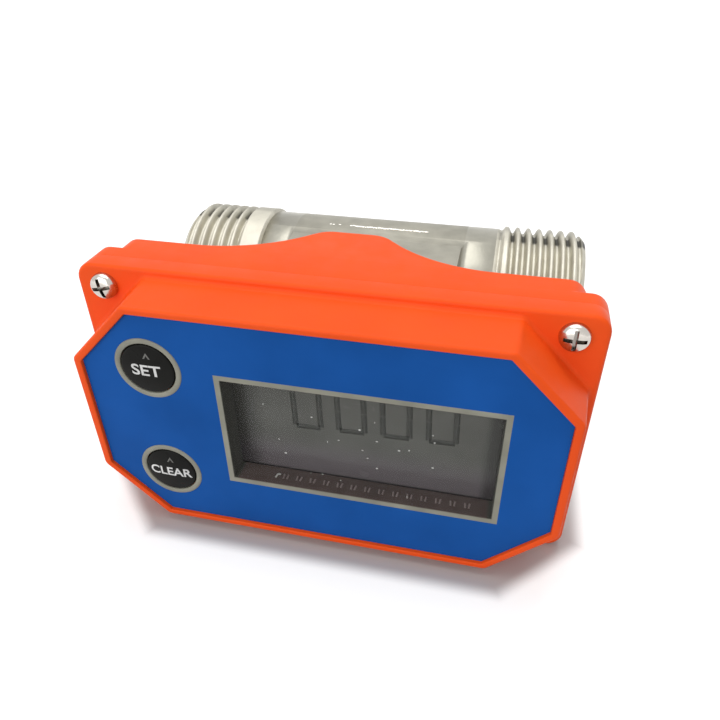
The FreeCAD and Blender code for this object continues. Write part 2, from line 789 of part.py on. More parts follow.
def front_bezel():
    raised = Part.makeLoft([bezel_outline(rim_y, 0, 0),
                            bezel_outline(flange_y, bezel_draft_x, bezel_draft_z)], True, True)
    raised = raised.makeFillet(bezel_edge, edges_at_y(raised, rim_y))
    feet = [edge.CenterOfMass for edge in edges_at_y(raised, flange_y)]
    flange = centred_plate(flange_width, flange_height, flange_y, parting_y, corner=flange_corner)
    flange = flange.makeFillet(flange_edge, edges_at_y(flange, flange_y))
    shell = raised.fuse(flange).removeSplitter()
    shell = shell.makeFillet(bezel_foot, edges_near(shell, feet))
    shell = shell.cut(inside_bezel(0, plate_back_y, parting_y))
    posts = four_ways(board_post())
    shell = shell.fuse(posts)
    recess = octagon_plate(face_width + fit_clearance, face_height + fit_clearance, face_chamfer,
                           rim_y, plate_front_y)
    cuts = [recess, window_opening(fit_clearance, plate_front_y, plate_back_y)]
    for side in (1, -1):
        cuts.append(button_hole(button_radius + slide_clearance, plate_front_y, plate_back_y, side))
    cuts += four_ways(cylinder(cover_screw_radius, V(middle_x + cover_screw_x, flange_y, cover_screw_z),
                               Y_DIR, front_flange))
    cuts += four_ways(cylinder(board_screw_radius, V(middle_x + post_x, board_y, post_z),
                               Y_DIR * -1, board_screw_length - board_thickness))
    return shell.cut(cuts).removeSplitter()


def cover_screws():
    seat = V(middle_x + cover_screw_x, flange_y, cover_screw_z)
    one = screw(cover_screw_radius, cover_screw_length, cover_head_radius, cover_head_height, seat, Y_DIR)
    one = one.makeChamfer(cover_head_edge, edges_at_y(one, flange_y - cover_head_height))
    return Part.makeCompound(four_ways(one))


def face_overlay():
    sheet = octagon_plate(face_width, face_height, face_chamfer, face_y, plate_front_y)
    cuts = [window_opening(trim_width, face_y, plate_front_y)]
    for side in (1, -1):
        cuts.append(button_hole(ring_outer_radius, face_y, plate_front_y, side))
    return sheet.cut(cuts)


def window_trim():
    frame = window_opening(trim_width, face_y, plate_front_y)
    return frame.cut(window_opening(fit_clearance / 2, face_y, plate_front_y))


def lcd_window():
    """Clear pane set in the window from behind, with a lip against the plate."""
    pane = window_opening(0, face_y + pane_step, plate_back_y)
    lip = window_opening(pane_lip, plate_back_y, plate_back_y + pane_lip_thickness)
    return pane.fuse(lip).removeSplitter()


def button_ring(side):
    """Bright ring with sloping edges, seated in the overlay round a button."""
    crown_y = face_y - ring_rise
    ring = button_hole(ring_outer_radius, crown_y, plate_front_y, side)
    ring = ring.cut(button_hole(ring_outer_radius - ring_width, crown_y, plate_front_y, side))
    return ring.makeChamfer(ring_edge, edges_at_y(ring, crown_y))


def button_rings():
    return Part.makeCompound([button_ring(1), button_ring(-1)])


def button(side):
    """Cap, retaining flange and stem, down to the switch plunger."""
    x = middle_x + button_x
    z = side * button_z
    top = face_y - button_crown
    flange_front = plate_back_y + slide_clearance
    cap = cylinder(button_radius, V(x, top, z), Y_DIR, flange_front - top)
    cap = cap.makeChamfer(button_edge, edges_at_y(cap, top))
    flange = cylinder(button_radius + button_flange_land, V(x, flange_front, z), Y_DIR,
                      button_flange_thickness)
    stem_end = board_y - switch_height - plunger_height
    stem = cylinder(stem_radius, V(x, flange_front, z), Y_DIR, stem_end - flange_front)
    return cap.fuse([flange, stem]).removeSplitter()


def switch_plunger(side):
    front = board_y - switch_height - plunger_height
    place = V(middle_x + button_x, front, side * button_z)
    return cylinder(plunger_radius, place, Y_DIR, plunger_height + plunger_depth)


def tact_switch(side):
    """Push switch with an open well for its plunger."""
    front = board_y - switch_height
    case = centred_plate(switch_size, switch_size, front, board_y, x=button_x, z=side * button_z)
    well = cylinder(plunger_radius + slide_clearance, V(middle_x + button_x, front, side * button_z),
                    Y_DIR, plunger_depth + button_travel + slide_clearance)
    return case.cut(well)


# ---- display stack and board ----

def lcd_glass():
    """Two bonded sheets, the rear one wider so that its contact edge stands out."""
    front = centred_plate(glass_width, glass_height - 2 * strip_thickness, glass_y,
                          glass_y + glass_thickness / 2, x=window_x)
    rear = centred_plate(glass_width, glass_height, glass_y + glass_thickness / 2,
                         glass_back_y, x=window_x)
    return front.fuse(rear).removeSplitter()


def lcd_frame():
    """Holder that clamps the glass and its contact strips to the board."""
    outer = centred_plate(glass_width + 2 * (fit_clearance + frame_wall),
                          glass_height + 2 * (fit_clearance + frame_wall),
                          glass_y - frame_lip_thickness, board_y, x=window_x, corner=frame_corner)
    room = centred_plate(glass_width + 2 * fit_clearance, glass_height + 2 * fit_clearance,
                         glass_y, board_y, x=window_x)
    view = centred_plate(glass_width - 2 * frame_lip, glass_height - 2 * frame_lip,
                         glass_y - frame_lip_thickness, glass_y, x=window_x)
    return outer.cut([room, view])


def contact_strips():
    z = glass_height / 2 - strip_inset - strip_thickness / 2
    strip = centred_plate(glass_width - 2 * strip_inset, strip_thickness, glass_back_y, board_y,
                          x=window_x, z=z)
    return Part.makeCompound([strip, mirrored(strip, z=True)])


def circuit_board():
    board = inside_bezel(board_margin, board_y, board_back_y)
    hole = cylinder(board_screw_radius, V(middle_x + post_x, board_y, post_z), Y_DIR, board_thickness)
    return board.cut(four_ways(hole))


def board_screws():
    seat = V(middle_x + post_x, board_back_y, post_z)
    one = screw(board_screw_radius, board_screw_length, board_head_radius, board_head_height,
                seat, Y_DIR * -1)
    return Part.makeCompound(four_ways(one))


# ---- battery and electronics ----

def cell_holder():
    """Round tray with a raised wall, cut away where the clip passes over the cell."""
    centre = V(middle_x + cell_x, board_back_y, 0)
    height = holder_floor + cell_thickness
    tray = cylinder(cell_reach, centre, Y_DIR, height)
    room = cylinder(cell_radius + fit_clearance, centre + Y_DIR * holder_floor, Y_DIR, cell_thickness)
    slot = box(centre.x - cell_reach, centre.x + cell_reach, board_back_y + holder_floor,
               board_back_y + height, -clip_width / 2 - fit_clearance, clip_width / 2 + fit_clearance)
    return tray.cut([room, slot])


def coin_cell():
    centre = V(middle_x + cell_x, board_back_y + holder_floor, 0)
    can = cylinder(cell_radius, centre, Y_DIR, cell_thickness)
    back = edges_at_y(can, centre.y + cell_thickness)
    return can.makeChamfer(cell_edge, back)


def cell_clip():
    """Sprung strap from the board, over the cell and back to the board."""
    top = board_back_y + holder_floor + cell_thickness
    outer = 2 * (cell_reach + clip_thickness)
    whole = centred_plate(outer, clip_width, board_back_y, top + clip_thickness, x=cell_x)
    return whole.cut(centred_plate(2 * cell_reach, clip_width, board_back_y, top, x=cell_x))


def main_chip():
    chip = centred_plate(chip_size, chip_size, board_back_y, board_back_y + chip_height,
                         x=chip_x, z=chip_z)
    return chip.makeChamfer(chip_edge, edges_at_y(chip, board_back_y + chip_height))


def crystal_can():
    """Clock crystal lying along the board."""
    start = V(middle_x + crystal_x, board_back_y + crystal_radius, -crystal_length / 2)
    return cylinder(crystal_radius, start, Z_DIR, crystal_length)


def lead_socket():
    return centred_plate(socket_width, socket_height, board_back_y, board_back_y + socket_depth,
                         x=socket_x, z=socket_z)


def build():
    inlet_spider = spider()
    inlet_bush = bush()
    inlet_ring = retaining_ring()
    return {
        "flow_body": flow_body(),
        "inlet_spider": inlet_spider,
        "outlet_spider": from_outlet_end(inlet_spider),
        "inlet_bush": inlet_bush,
        "outlet_bush": from_outlet_end(inlet_bush),
        "inlet_snap_ring": inlet_ring,
        "outlet_snap_ring": from_outlet_end(inlet_ring),
        "rotor": rotor(),
        "rotor_shaft": rotor_shaft(),
        "rotor_magnet": rotor_magnet(),
        "thrust_washers": thrust_washers(),
        "hall_sensor": hall_sensor(),
        "sensor_sleeve": sensor_sleeve(),
        "sensor_lead": sensor_lead(),
        "lead_grommet": lead_grommet(),
        "neck_gasket": neck_gasket(),
        "neck_screws": neck_screws(),
        "rear_housing": rear_housing(),
        "housing_gasket": housing_gasket(),
        "front_bezel": front_bezel(),
        "cover_screws": cover_screws(),
        "face_overlay": face_overlay(),
        "window_trim": window_trim(),
        "lcd_window": lcd_window(),
        "button_rings": button_rings(),
        "set_button": button(1),
        "clear_button": button(-1),
        "set_plunger": switch_plunger(1),
        "clear_plunger": switch_plunger(-1),
        "tact_switches": Part.makeCompound([tact_switch(1), tact_switch(-1)]),
        "lcd_glass": lcd_glass(),
        "lcd_frame": lcd_frame(),
        "contact_strips": contact_strips(),
        "circuit_board": circuit_board(),
        "board_screws": board_screws(),
        "cell_holder": cell_holder(),
        "coin_cell": coin_cell(),
        "cell_clip": cell_clip(),
        "main_chip": main_chip(),
        "crystal_can": crystal_can(),
        "lead_socket": lead_socket(),
    }


os.makedirs("parts", exist_ok=True)
for name, shape in build().items():
    shape.exportStep("parts/" + name + ".step")
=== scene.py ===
import math
import bmesh
import bpy
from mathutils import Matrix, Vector


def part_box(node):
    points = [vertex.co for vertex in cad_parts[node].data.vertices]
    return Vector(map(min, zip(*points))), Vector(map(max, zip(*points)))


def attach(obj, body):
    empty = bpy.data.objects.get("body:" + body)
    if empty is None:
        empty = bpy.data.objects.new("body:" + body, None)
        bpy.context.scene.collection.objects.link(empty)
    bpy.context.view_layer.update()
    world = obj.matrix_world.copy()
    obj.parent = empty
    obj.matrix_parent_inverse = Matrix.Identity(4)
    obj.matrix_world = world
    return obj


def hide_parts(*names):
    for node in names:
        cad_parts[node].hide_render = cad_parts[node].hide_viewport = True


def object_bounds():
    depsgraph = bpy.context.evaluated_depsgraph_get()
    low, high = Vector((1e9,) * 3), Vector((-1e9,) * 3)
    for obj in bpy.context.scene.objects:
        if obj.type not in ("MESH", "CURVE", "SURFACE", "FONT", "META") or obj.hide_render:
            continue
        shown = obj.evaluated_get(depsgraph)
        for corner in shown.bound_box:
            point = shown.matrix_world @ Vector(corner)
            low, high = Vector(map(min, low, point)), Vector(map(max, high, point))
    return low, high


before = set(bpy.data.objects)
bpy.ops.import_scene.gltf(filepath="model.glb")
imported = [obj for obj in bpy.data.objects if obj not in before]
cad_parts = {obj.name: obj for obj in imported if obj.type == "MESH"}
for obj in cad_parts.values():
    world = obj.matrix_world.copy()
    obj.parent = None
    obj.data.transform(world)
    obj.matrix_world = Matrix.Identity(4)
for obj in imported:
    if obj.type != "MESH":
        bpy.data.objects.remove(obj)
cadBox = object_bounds()
mm = 0.001
scene = bpy.context.scene
middleX = (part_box("flow_body")[0].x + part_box("flow_body")[1].x) / 2
print("frame loaded")


# node helpers

def addNode(tree, kind, inputs=None, **settings):
    # a node with its settings, and its inputs linked or set by name or number
    node = tree.nodes.new(kind)
    for name, value in settings.items():
        setattr(node, name, value)
    for name, value in (inputs or {}).items():
        if isinstance(value, bpy.types.NodeSocket):
            tree.links.new(value, node.inputs[name])
        else:
            node.inputs[name].default_value = value
    return node


def calc(tree, operation, a, b=0.0, clamp=False):
    return addNode(tree, "ShaderNodeMath", {0: a, 1: b}, operation=operation, use_clamp=clamp).outputs[0]


def product(tree, *factors):
    total = factors[0]
    for factor in factors[1:]:
        total = calc(tree, "MULTIPLY", total, factor)
    return total


def diagonal(tree, a, b):
    return calc(tree, "SQRT", calc(tree, "ADD", product(tree, a, a), product(tree, b, b)))


def ramp(tree, value, start, end, low=0.0, high=1.0, shape="LINEAR"):
    # goes from low to high while the value goes from start to end
    node = addNode(tree, "ShaderNodeMapRange", {
        "Value": value, "From Min": start, "From Max": end, "To Min": low, "To Max": high},
        interpolation_type=shape)
    return node.outputs["Result"]


def softRamp(tree, value, start, end, low=0.0, high=1.0):
    return ramp(tree, value, start, end, low, high, "SMOOTHSTEP")


def partsOf(tree, vector):
    return addNode(tree, "ShaderNodeSeparateXYZ", {"Vector": vector}).outputs


def vectorOf(tree, x, y, z):
    return addNode(tree, "ShaderNodeCombineXYZ", {"X": x, "Y": y, "Z": z}).outputs[0]


def objectPlace(tree):
    return addNode(tree, "ShaderNodeTexCoord").outputs["Object"]


def randomVector(tree, seed, low, high):
    node = addNode(tree, "FunctionNodeRandomValue", {"Seed": seed, "Min": low, "Max": high},
                   data_type="FLOAT_VECTOR")
    return node.outputs[0]


# camera, floor and light

view = {
    "location": (0.06857, -0.13448, 0.07390),
    "turn": (55.383, 0.474, 12.909),  # degrees
    "lens": 32.541,
}


def placeCamera():
    lens = bpy.data.cameras.new("camera")
    lens.lens = view["lens"]
    lens.clip_start = 0.005
    camera = bpy.data.objects.new("camera", lens)
    camera.location = view["location"]
    camera.rotation_euler = [math.radians(a) for a in view["turn"]]
    scene.collection.objects.link(camera)
    scene.camera = camera


studio = {
    "floorReach": 4.0,  # metres from the meter to the floor's edge
    "floorColour": 0.55,
    "nearGlow": 0.60,  # added for the camera, so that the lit floor is white
    "farGlow": 1.0,
    "glowStart": 0.10,
    "glowEnd": 0.50,
    "contactStart": 1.6 * mm,  # no glow this close to the housing's foot, so the floor stays grey there: a painted shadow over the real one
    "contactEnd": 5.4 * mm,
    "footCorner": 89.0 * mm,  # how far out the foot's cut corners reach, across plus forward
    "worldLight": 0.35,
}
lamps = {  # power, size, place from the meter's middle, and whether the metal mirrors it
    "keyLamp": (3.4, 0.8, (-0.05, 0.10, 0.78), True),
    "fillLamp": (4.4, 0.9, (-0.25, -0.75, 0.30), True),
    "shadeLamp": (1.3, 0.22, (0.02, 0.12, 0.80), False),  # small, for the close shadows
}


def seenDirectly(tree):
    # 1 for rays that reach the camera straight, by a mirror or through glass
    path = addNode(tree, "ShaderNodeLightPath").outputs
    mirrored = calc(tree, "MAXIMUM", path["Is Camera Ray"], path["Is Glossy Ray"])
    return calc(tree, "MAXIMUM", mirrored, path["Is Transmission Ray"])


def footDistance(tree, place):
    # how far a place on the floor lies outside the housing's foot
    x, y, z = partsOf(tree, place)
    across = calc(tree, "ABSOLUTE", calc(tree, "SUBTRACT", x, middleX))
    forward = calc(tree, "MULTIPLY", y, -1.0)
    sides = calc(tree, "SUBTRACT", across, (cadBox[1].x - cadBox[0].x) / 2)
    front = calc(tree, "SUBTRACT", forward, -cadBox[0].y)
    back = calc(tree, "SUBTRACT", y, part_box("rear_housing")[1].y)
    corner = calc(tree, "SUBTRACT", calc(tree, "ADD", across, forward), studio["footCorner"])
    straight = calc(tree, "MAXIMUM", sides, calc(tree, "MAXIMUM", front, back))
    return calc(tree, "MAXIMUM", straight, product(tree, corner, math.sqrt(0.5)))


def floorPaper():
    # matt grey that glows white for the camera, except in a band round the housing's foot: a painted shadow
    paper = bpy.data.materials.new("floorPaper")
    paper.use_nodes = True
    tree = paper.node_tree
    tree.nodes.clear()
    place = objectPlace(tree)
    away = addNode(tree, "ShaderNodeVectorMath", {0: place, 1: (middleX, cadBox[0].y, cadBox[0].z)},
                   operation="DISTANCE")
    level = softRamp(tree, away.outputs["Value"], studio["glowStart"], studio["glowEnd"],
                     studio["nearGlow"], studio["farGlow"])
    # painted shadow: the glow fades out close to the foot
    clear = softRamp(tree, footDistance(tree, place), studio["contactStart"], studio["contactEnd"])
    grey = studio["floorColour"]
    matt = addNode(tree, "ShaderNodeBsdfDiffuse", {"Color": (grey, grey, grey, 1)})
    glow = addNode(tree, "ShaderNodeEmission", {"Strength": product(tree, seenDirectly(tree), level, clear)})
    both = addNode(tree, "ShaderNodeAddShader", {0: matt.outputs[0], 1: glow.outputs[0]})
    addNode(tree, "ShaderNodeOutputMaterial", {"Surface": both.outputs[0]})
    return paper


def layFloor():
    reach = studio["floorReach"]
    corners = [(x * reach, y * reach, cadBox[0].z) for x, y in ((-1, -1), (1, -1), (1, 1), (-1, 1))]
    mesh = bpy.data.meshes.new("floor")
    mesh.from_pydata(corners, [], [(0, 1, 2, 3)])
    mesh.materials.append(floorPaper())
    floor = bpy.data.objects.new("floor", mesh)
    scene.collection.objects.link(floor)


def setWorld():
    world = bpy.data.worlds.new("studio")
    scene.world = world
    world.use_nodes = True
    tree = world.node_tree
    background = tree.nodes["Background"]
    background.inputs["Color"].default_value = (1, 1, 1, 1)
    level = ramp(tree, seenDirectly(tree), 0.0, 1.0, studio["worldLight"], 1.0)
    tree.links.new(level, background.inputs["Strength"])


def hangLamp(name, power, size, place, mirrored):
    lamp = bpy.data.lights.new(name, "AREA")
    lamp.shape = "SQUARE"
    lamp.size = size
    lamp.energy = power
    holder = bpy.data.objects.new(name, lamp)
    holder.location = Vector((middleX, cadBox[0].y / 2, 0)) + Vector(place)
    holder.rotation_euler = (-Vector(place)).to_track_quat("-Z", "Y").to_euler()
    holder.visible_glossy = mirrored
    scene.collection.objects.link(holder)


scene.view_settings.view_transform = "Standard"
placeCamera()
layFloor()
setWorld()
for lampName, lampValues in lamps.items():
    hangLamp(lampName, *lampValues)
print("studio set")


# finishes: each has its constant values on the shader, and detail from noise on Object coordinates

def shaderOf(finish):
    return finish.node_tree.nodes["Principled BSDF"]


def newFinish(name, values):
    finish = bpy.data.materials.new(name)
    finish.use_nodes = True
    for socket, value in values.items():
        shaderOf(finish).inputs[socket].default_value = value
    return finish


def feed(finish, name, socket):
    finish.node_tree.links.new(socket, shaderOf(finish).inputs[name])


def colourOf(finish):
    # the socket that gives the finish its colour so far
    return shaderOf(finish).inputs["Base Color"].links[0].from_socket


def noise(finish, size, detail=3.0, stretch=(1, 1, 1)):
    # a noise whose features are about this size in metres
    tree = finish.node_tree
    place = addNode(tree, "ShaderNodeMapping", {"Vector": objectPlace(tree), "Scale": stretch})
    node = addNode(tree, "ShaderNodeTexNoise", {
        "Vector": place.outputs["Vector"], "Scale": 1 / size, "Detail": detail})
    return node.outputs["Fac"]


def varyColour(finish, factor, low, high, start=0.3, end=0.7):
    band = addNode(finish.node_tree, "ShaderNodeValToRGB", {"Fac": factor})
    for element, place, colour in zip(band.color_ramp.elements, (start, end), (low, high)):
        element.position = place
        element.color = (*colour, 1)
    feed(finish, "Base Color", band.outputs["Color"])


def varyRoughness(finish, factor, low, high):
    feed(finish, "Roughness", ramp(finish.node_tree, factor, 0.3, 0.7, low, high))


def darken(finish, factor):
    shade = addNode(finish.node_tree, "ShaderNodeVectorMath", {0: colourOf(finish), "Scale": factor},
                    operation="SCALE")
    feed(finish, "Base Color", shade.outputs[0])


def tint(finish, factor, colour):
    # takes the finish to another colour where the factor is 1
    mix = addNode(finish.node_tree, "ShaderNodeMix", {
        "Factor": factor, 6: colourOf(finish), 7: (*colour, 1)}, data_type="RGBA")
    feed(finish, "Base Color", mix.outputs[2])


def addBump(finish, height, depth, strength=1.0):
    shader = shaderOf(finish)
    inputs = {"Height": height, "Distance": depth, "Strength": strength}
    if shader.inputs["Normal"].is_linked:
        inputs["Normal"] = shader.inputs["Normal"].links[0].from_socket
    feed(finish, "Normal", addNode(finish.node_tree, "ShaderNodeBump", inputs).outputs["Normal"])


def fromMiddle(tree, middle=middleX):
    # distance from the middle, along the flow
    return calc(tree, "ABSOLUTE", calc(tree, "SUBTRACT", partsOf(tree, objectPlace(tree))["X"], middle))


castBlock = {
    "end": 19.2 * mm,  # half length of the block along the flow
    "edge": 0.4 * mm,
    "shade": 0.88,
    "roughness": 0.50,
    "tubeRoughness": 0.30,
}


def castSteel():
    # bead-blasted stainless casting, duller on the block than on the tube either side of it
    finish = newFinish("castSteel", {"Metallic": 1.0})
    tree = finish.node_tree
    varyColour(finish, noise(finish, 3 * mm, 5), (0.375, 0.363, 0.308), (0.455, 0.438, 0.374))
    end = castBlock["end"]
    dull = softRamp(tree, fromMiddle(tree), end - castBlock["edge"], end, castBlock["shade"], 1.0)
    darken(finish, dull)
    rough = ramp(tree, dull, castBlock["shade"], 1.0, castBlock["roughness"], castBlock["tubeRoughness"])
    grain = product(tree, noise(finish, 1.5 * mm, 3), 0.10)
    feed(finish, "Roughness", calc(tree, "ADD", grain, rough))
    addBump(finish, noise(finish, 0.5 * mm, 3), 0.03 * mm)
    addBump(finish, noise(finish, 6 * mm, 2), 0.15 * mm, 0.5)
    return finish


def turnedSteel():
    # lathe-turned ends: fine rings round the flow axis, with painted shade down in the thread
    finish = newFinish("turnedSteel", {"Metallic": 1.0})
    tree = finish.node_tree
    varyColour(finish, noise(finish, 3 * mm, 3), (0.54, 0.517, 0.442), (0.62, 0.597, 0.512))
    x, y, z = partsOf(tree, objectPlace(tree))
    crest = thread["radius"]
    # painted shade, darker towards the thread roots
    depth = ramp(tree, diagonal(tree, y, z), crest - thread["depth"], crest - 0.25 * thread["depth"],
                 thread["rootShade"], 1.0)
    # painted shade: a dark band along the upper side of the roots, and the steel above it darker
    aside = calc(tree, "SUBTRACT", calc(tree, "ARCTAN2", z, product(tree, y, -1.0)), thread["greaseAngle"])
    spread = thread["greaseSpread"]
    band = softRamp(tree, calc(tree, "ABSOLUTE", aside), 0.5 * spread, spread)
    flank = ramp(tree, depth, thread["rootShade"], thread["flankShade"])
    paintedShade = ramp(tree, calc(tree, "MAXIMUM", band, flank), 0.0, 1.0, thread["greaseShade"], 1.0)
    top = softRamp(tree, aside, 0.0, spread, 1.0, thread["topShade"])
    darken(finish, product(tree, depth, top, paintedShade))
    varyRoughness(finish, noise(finish, 0.6 * mm, 3, (6, 1, 1)), 0.46, 0.56)
    addBump(finish, noise(finish, 0.4 * mm, 2, (8, 1, 1)), 0.01 * mm)
    return finish


def brightSteel(name, colour, rough):
    finish = newFinish(name, {"Metallic": 1.0})
    varyColour(finish, noise(finish, 2 * mm), [c * 0.85 for c in colour], colour)
    varyRoughness(finish, noise(finish, 0.5 * mm), rough, rough + 0.14)
    addBump(finish, noise(finish, 0.3 * mm), 0.006 * mm)
    return finish


def screwSteel():
    # nickel-plated, darker down in the recess: painted shade
    finish = brightSteel("screwSteel", (0.62, 0.58, 0.53), 0.14)
    recess = addNode(finish.node_tree, "ShaderNodeAttribute", attribute_name="recess")
    darken(finish, ramp(finish.node_tree, recess.outputs["Fac"], 0.0, 1.0, 1.0, 0.55))
    return finish


def housingPlastic():
    # satin orange ABS with a fine spark-eroded skin
    finish = newFinish("housingPlastic", {"Specular IOR Level": 0.15})
    varyColour(finish, noise(finish, 12 * mm, 3), (0.87, 0.084, 0.008), (0.93, 0.097, 0.011))
    varyRoughness(finish, noise(finish, 3 * mm, 4), 0.40, 0.50)
    addBump(finish, noise(finish, 0.35 * mm, 2), 0.010 * mm)
    addBump(finish, noise(finish, 8 * mm, 2), 0.08 * mm, 0.4)
    return finish


def overlayFilm():
    # polycarbonate film, blue behind a fine velvet skin
    finish = newFinish("overlayFilm", {"Specular IOR Level": 0.05})
    varyColour(finish, noise(finish, 15 * mm, 3), (0.0075, 0.079, 0.320), (0.0105, 0.099, 0.395))
    varyRoughness(finish, noise(finish, 2 * mm, 3), 0.38, 0.46)
    addBump(finish, noise(finish, 0.2 * mm, 2), 0.004 * mm)
    return finish


def moulded(name, colour, rough, grain=0.4 * mm, depth=0.01 * mm, spread=0.15, gloss=0.5):
    # any plain moulded plastic, rubber or resin
    finish = newFinish(name, {"Specular IOR Level": gloss})
    low, high = ([c * (1 + side * spread) for c in colour] for side in (-1, 1))
    varyColour(finish, noise(finish, 5 * mm), low, high)
    varyRoughness(finish, noise(finish, 2 * mm), rough - 0.05, rough + 0.05)
    addBump(finish, noise(finish, grain), depth)
    return finish


def clearPane():
    # acrylic, almost clear
    finish = newFinish("clearPane", {"Alpha": 0.08, "Specular IOR Level": 0.5})
    varyColour(finish, noise(finish, 10 * mm), (0.022, 0.021, 0.018), (0.030, 0.029, 0.025))
    varyRoughness(finish, noise(finish, 3 * mm), 0.06, 0.12)
    return finish


def paintedShadeLining():
    # brown sheet on the walls of the opening, its brown standing in for the orange wall in shade; dark olive
    # on its two end walls, painted shade too
    low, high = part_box("window_trim")
    half = (high.x - low.x) / 2
    finish = moulded("paintedShadeLining", (0.125, 0.094, 0.086), 0.6, gloss=0.2)
    tree = finish.node_tree
    ends = softRamp(tree, fromMiddle(tree, (low.x + high.x) / 2), half - 2.0 * mm, half - 1.5 * mm)
    tint(finish, ends, (0.085, 0.088, 0.075))
    return finish


glass = {
    "purple": (4 * mm, 11 * mm),  # up from the lower edge
    "leftEnd": (3 * mm, 8 * mm),  # in from the ends: where the painted shade is darkest, and where it clears
    "rightEnd": (3 * mm, 5 * mm),
    "paintedEndShade": 0.45,
}


def displayGlass():
    # reflective display: grey-green in the middle, darker towards both ends (painted shade) and purple low
    # down
    low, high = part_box("lcd_glass")
    finish = newFinish("displayGlass", {"Specular IOR Level": 0.3})
    tree = finish.node_tree
    varyColour(finish, noise(finish, 9 * mm, 2), (0.114, 0.115, 0.102), (0.140, 0.141, 0.126))
    x, y, z = partsOf(tree, objectPlace(tree))
    tint(finish, softRamp(tree, z, *(low.z + d for d in glass["purple"]), 1.0, 0.0), (0.150, 0.134, 0.142))
    # painted shade towards both ends
    left = softRamp(tree, x, *(low.x + d for d in glass["leftEnd"]), glass["paintedEndShade"], 1.0)
    right = softRamp(tree, x, *(high.x - d for d in glass["rightEnd"]), glass["paintedEndShade"], 1.0)
    darken(finish, product(tree, left, right))
    varyRoughness(finish, noise(finish, 4 * mm), 0.18, 0.28)
    return finish


thread = {
    "radius": 16.62 * mm,
    "pitch": 2.309 * mm,  # G1, eleven to the inch
    "depth": 1.35 * mm,
    "zone": 18.5 * mm,
    "chamfer": 1.8 * mm,
    "step": 0.5 * mm,
    "relief": 0.62 * mm,
    "core": 15.1 * mm,  # the body's radius under the thread
    "collars": {"inletThread": 4.0 * mm, "outletThread": 1.6 * mm},  # plain stretch behind the thread
    "notch": 0.9 * mm,  # undercut where the outlet's thread runs out
    "crestShare": 0.06,  # flat of the crest and start of the root, in turns from the crest
    "rootShare": 0.44,
    "runOut": 0.7,  # turns over which the groove fades out
    "endGap": 0.005 * mm,  # the ring's end lies this far inside the body's face
    "margin": 0.1 * mm,  # the body is drawn in from this far inside the zone
    "sleeve": 1.0 * mm,  # how far the ring reaches in below the core
    "segments": 160,  # round the axis, and along it
    "greaseAngle": math.radians(91),  # above the front, round the flow axis
    "greaseSpread": math.radians(9),
    "greaseShade": 0.12,  # brightness of the painted shade band, and the painted shade of the roots, their flanks and the steel above the band
    "rootShade": 0.94,
    "flankShade": 0.985,
    "topShade": 0.78,
}
finishes = {
    "cast_steel": castSteel(),
    "spring_steel": brightSteel("springSteel", (0.55, 0.54, 0.52), 0.25),
    "screw_steel": screwSteel(),
    "cell_steel": brightSteel("cellSteel", (0.70, 0.70, 0.68), 0.22),
    "trim_silver": moulded("trimSilver", (0.27, 0.265, 0.215), 0.38, gloss=0.3),
    "housing_plastic": housingPlastic(),
    "overlay_film": overlayFilm(),
    "button_black": moulded("buttonBlack", (0.008, 0.008, 0.007), 0.30, 0.6 * mm, 0.006 * mm, gloss=0.08),
    "window_clear": clearPane(),
    "display_glass": displayGlass(),
    "switch_plastic": moulded("switchPlastic", (0.03, 0.03, 0.03), 0.5),
    "strip_rubber": moulded("stripRubber", (0.05, 0.05, 0.05), 0.7),
    "board_green": moulded("boardGreen", (0.02, 0.12, 0.05), 0.4),
    "sensor_epoxy": moulded("sensorEpoxy", (0.02, 0.02, 0.02), 0.55),
    "lead_jacket": moulded("leadJacket", (0.03, 0.03, 0.03), 0.5),
    "socket_nylon": moulded("socketNylon", (0.75, 0.72, 0.65), 0.45),
    "seal_rubber": moulded("sealRubber", (0.02, 0.02, 0.02), 0.75, 0.3 * mm, 0.02 * mm),
    "acetal": moulded("acetal", (0.70, 0.70, 0.66), 0.42),
    "rotor_nylon": moulded("rotorNylon", (0.55, 0.55, 0.50), 0.40),
    "bush_ceramic": moulded("bushCeramic", (0.80, 0.78, 0.72), 0.25),
    "magnet_ferrite": moulded("magnetFerrite", (0.04, 0.04, 0.045), 0.45),
    "washer_ptfe": moulded("washerPtfe", (0.85, 0.85, 0.83), 0.5),
    "turned_steel": turnedSteel(),
    "word_white": moulded("wordWhite", (0.72, 0.72, 0.71), 0.5, gloss=0.2),
    "mark_grey": moulded("markGrey", (0.16, 0.16, 0.15), 0.5, gloss=0.2),
    "segment_grey": moulded("segmentGrey", (0.076, 0.079, 0.071), 0.4, spread=0.05, gloss=0.2),
    "contact_tin": moulded("contactTin", (0.34, 0.27, 0.26), 0.4, gloss=0.4),
    "lining_brown": paintedShadeLining(),
    "dust_grey": moulded("dustGrey", (0.78, 0.78, 0.74), 0.5, gloss=0.3),
    "mark_steel": brightSteel("markSteel", (0.95, 0.93, 0.86), 0.12),
}
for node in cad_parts.values():
    for place in node.material_slots:
        place.material = finishes[place.material.name]
print("finishes made")


# meshes and modifiers

def newPiece(name, mesh, body, slot, finish=None, sharp=35):
    # the finish is the slot's own, unless another is named
    piece = bpy.data.objects.new(name, mesh)
    scene.collection.objects.link(piece)
    mesh.name = name
    mesh.materials.clear()
    mesh.materials.append(finishes[finish or slot])
    mesh.shade_smooth()
    mesh.set_sharp_from_angle(angle=math.radians(sharp))
    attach(piece, body)
    return piece


def plainMesh(points, edges=(), faces=()):
    mesh = bpy.data.meshes.new("mesh")
    mesh.from_pydata(points, edges, faces)
    return mesh


def meshOf(bm, outward=True):
    if outward:
        bmesh.ops.recalc_face_normals(bm, faces=bm.faces[:])
    mesh = bpy.data.meshes.new("mesh")
    bm.to_mesh(mesh)
    bm.free()
    return mesh


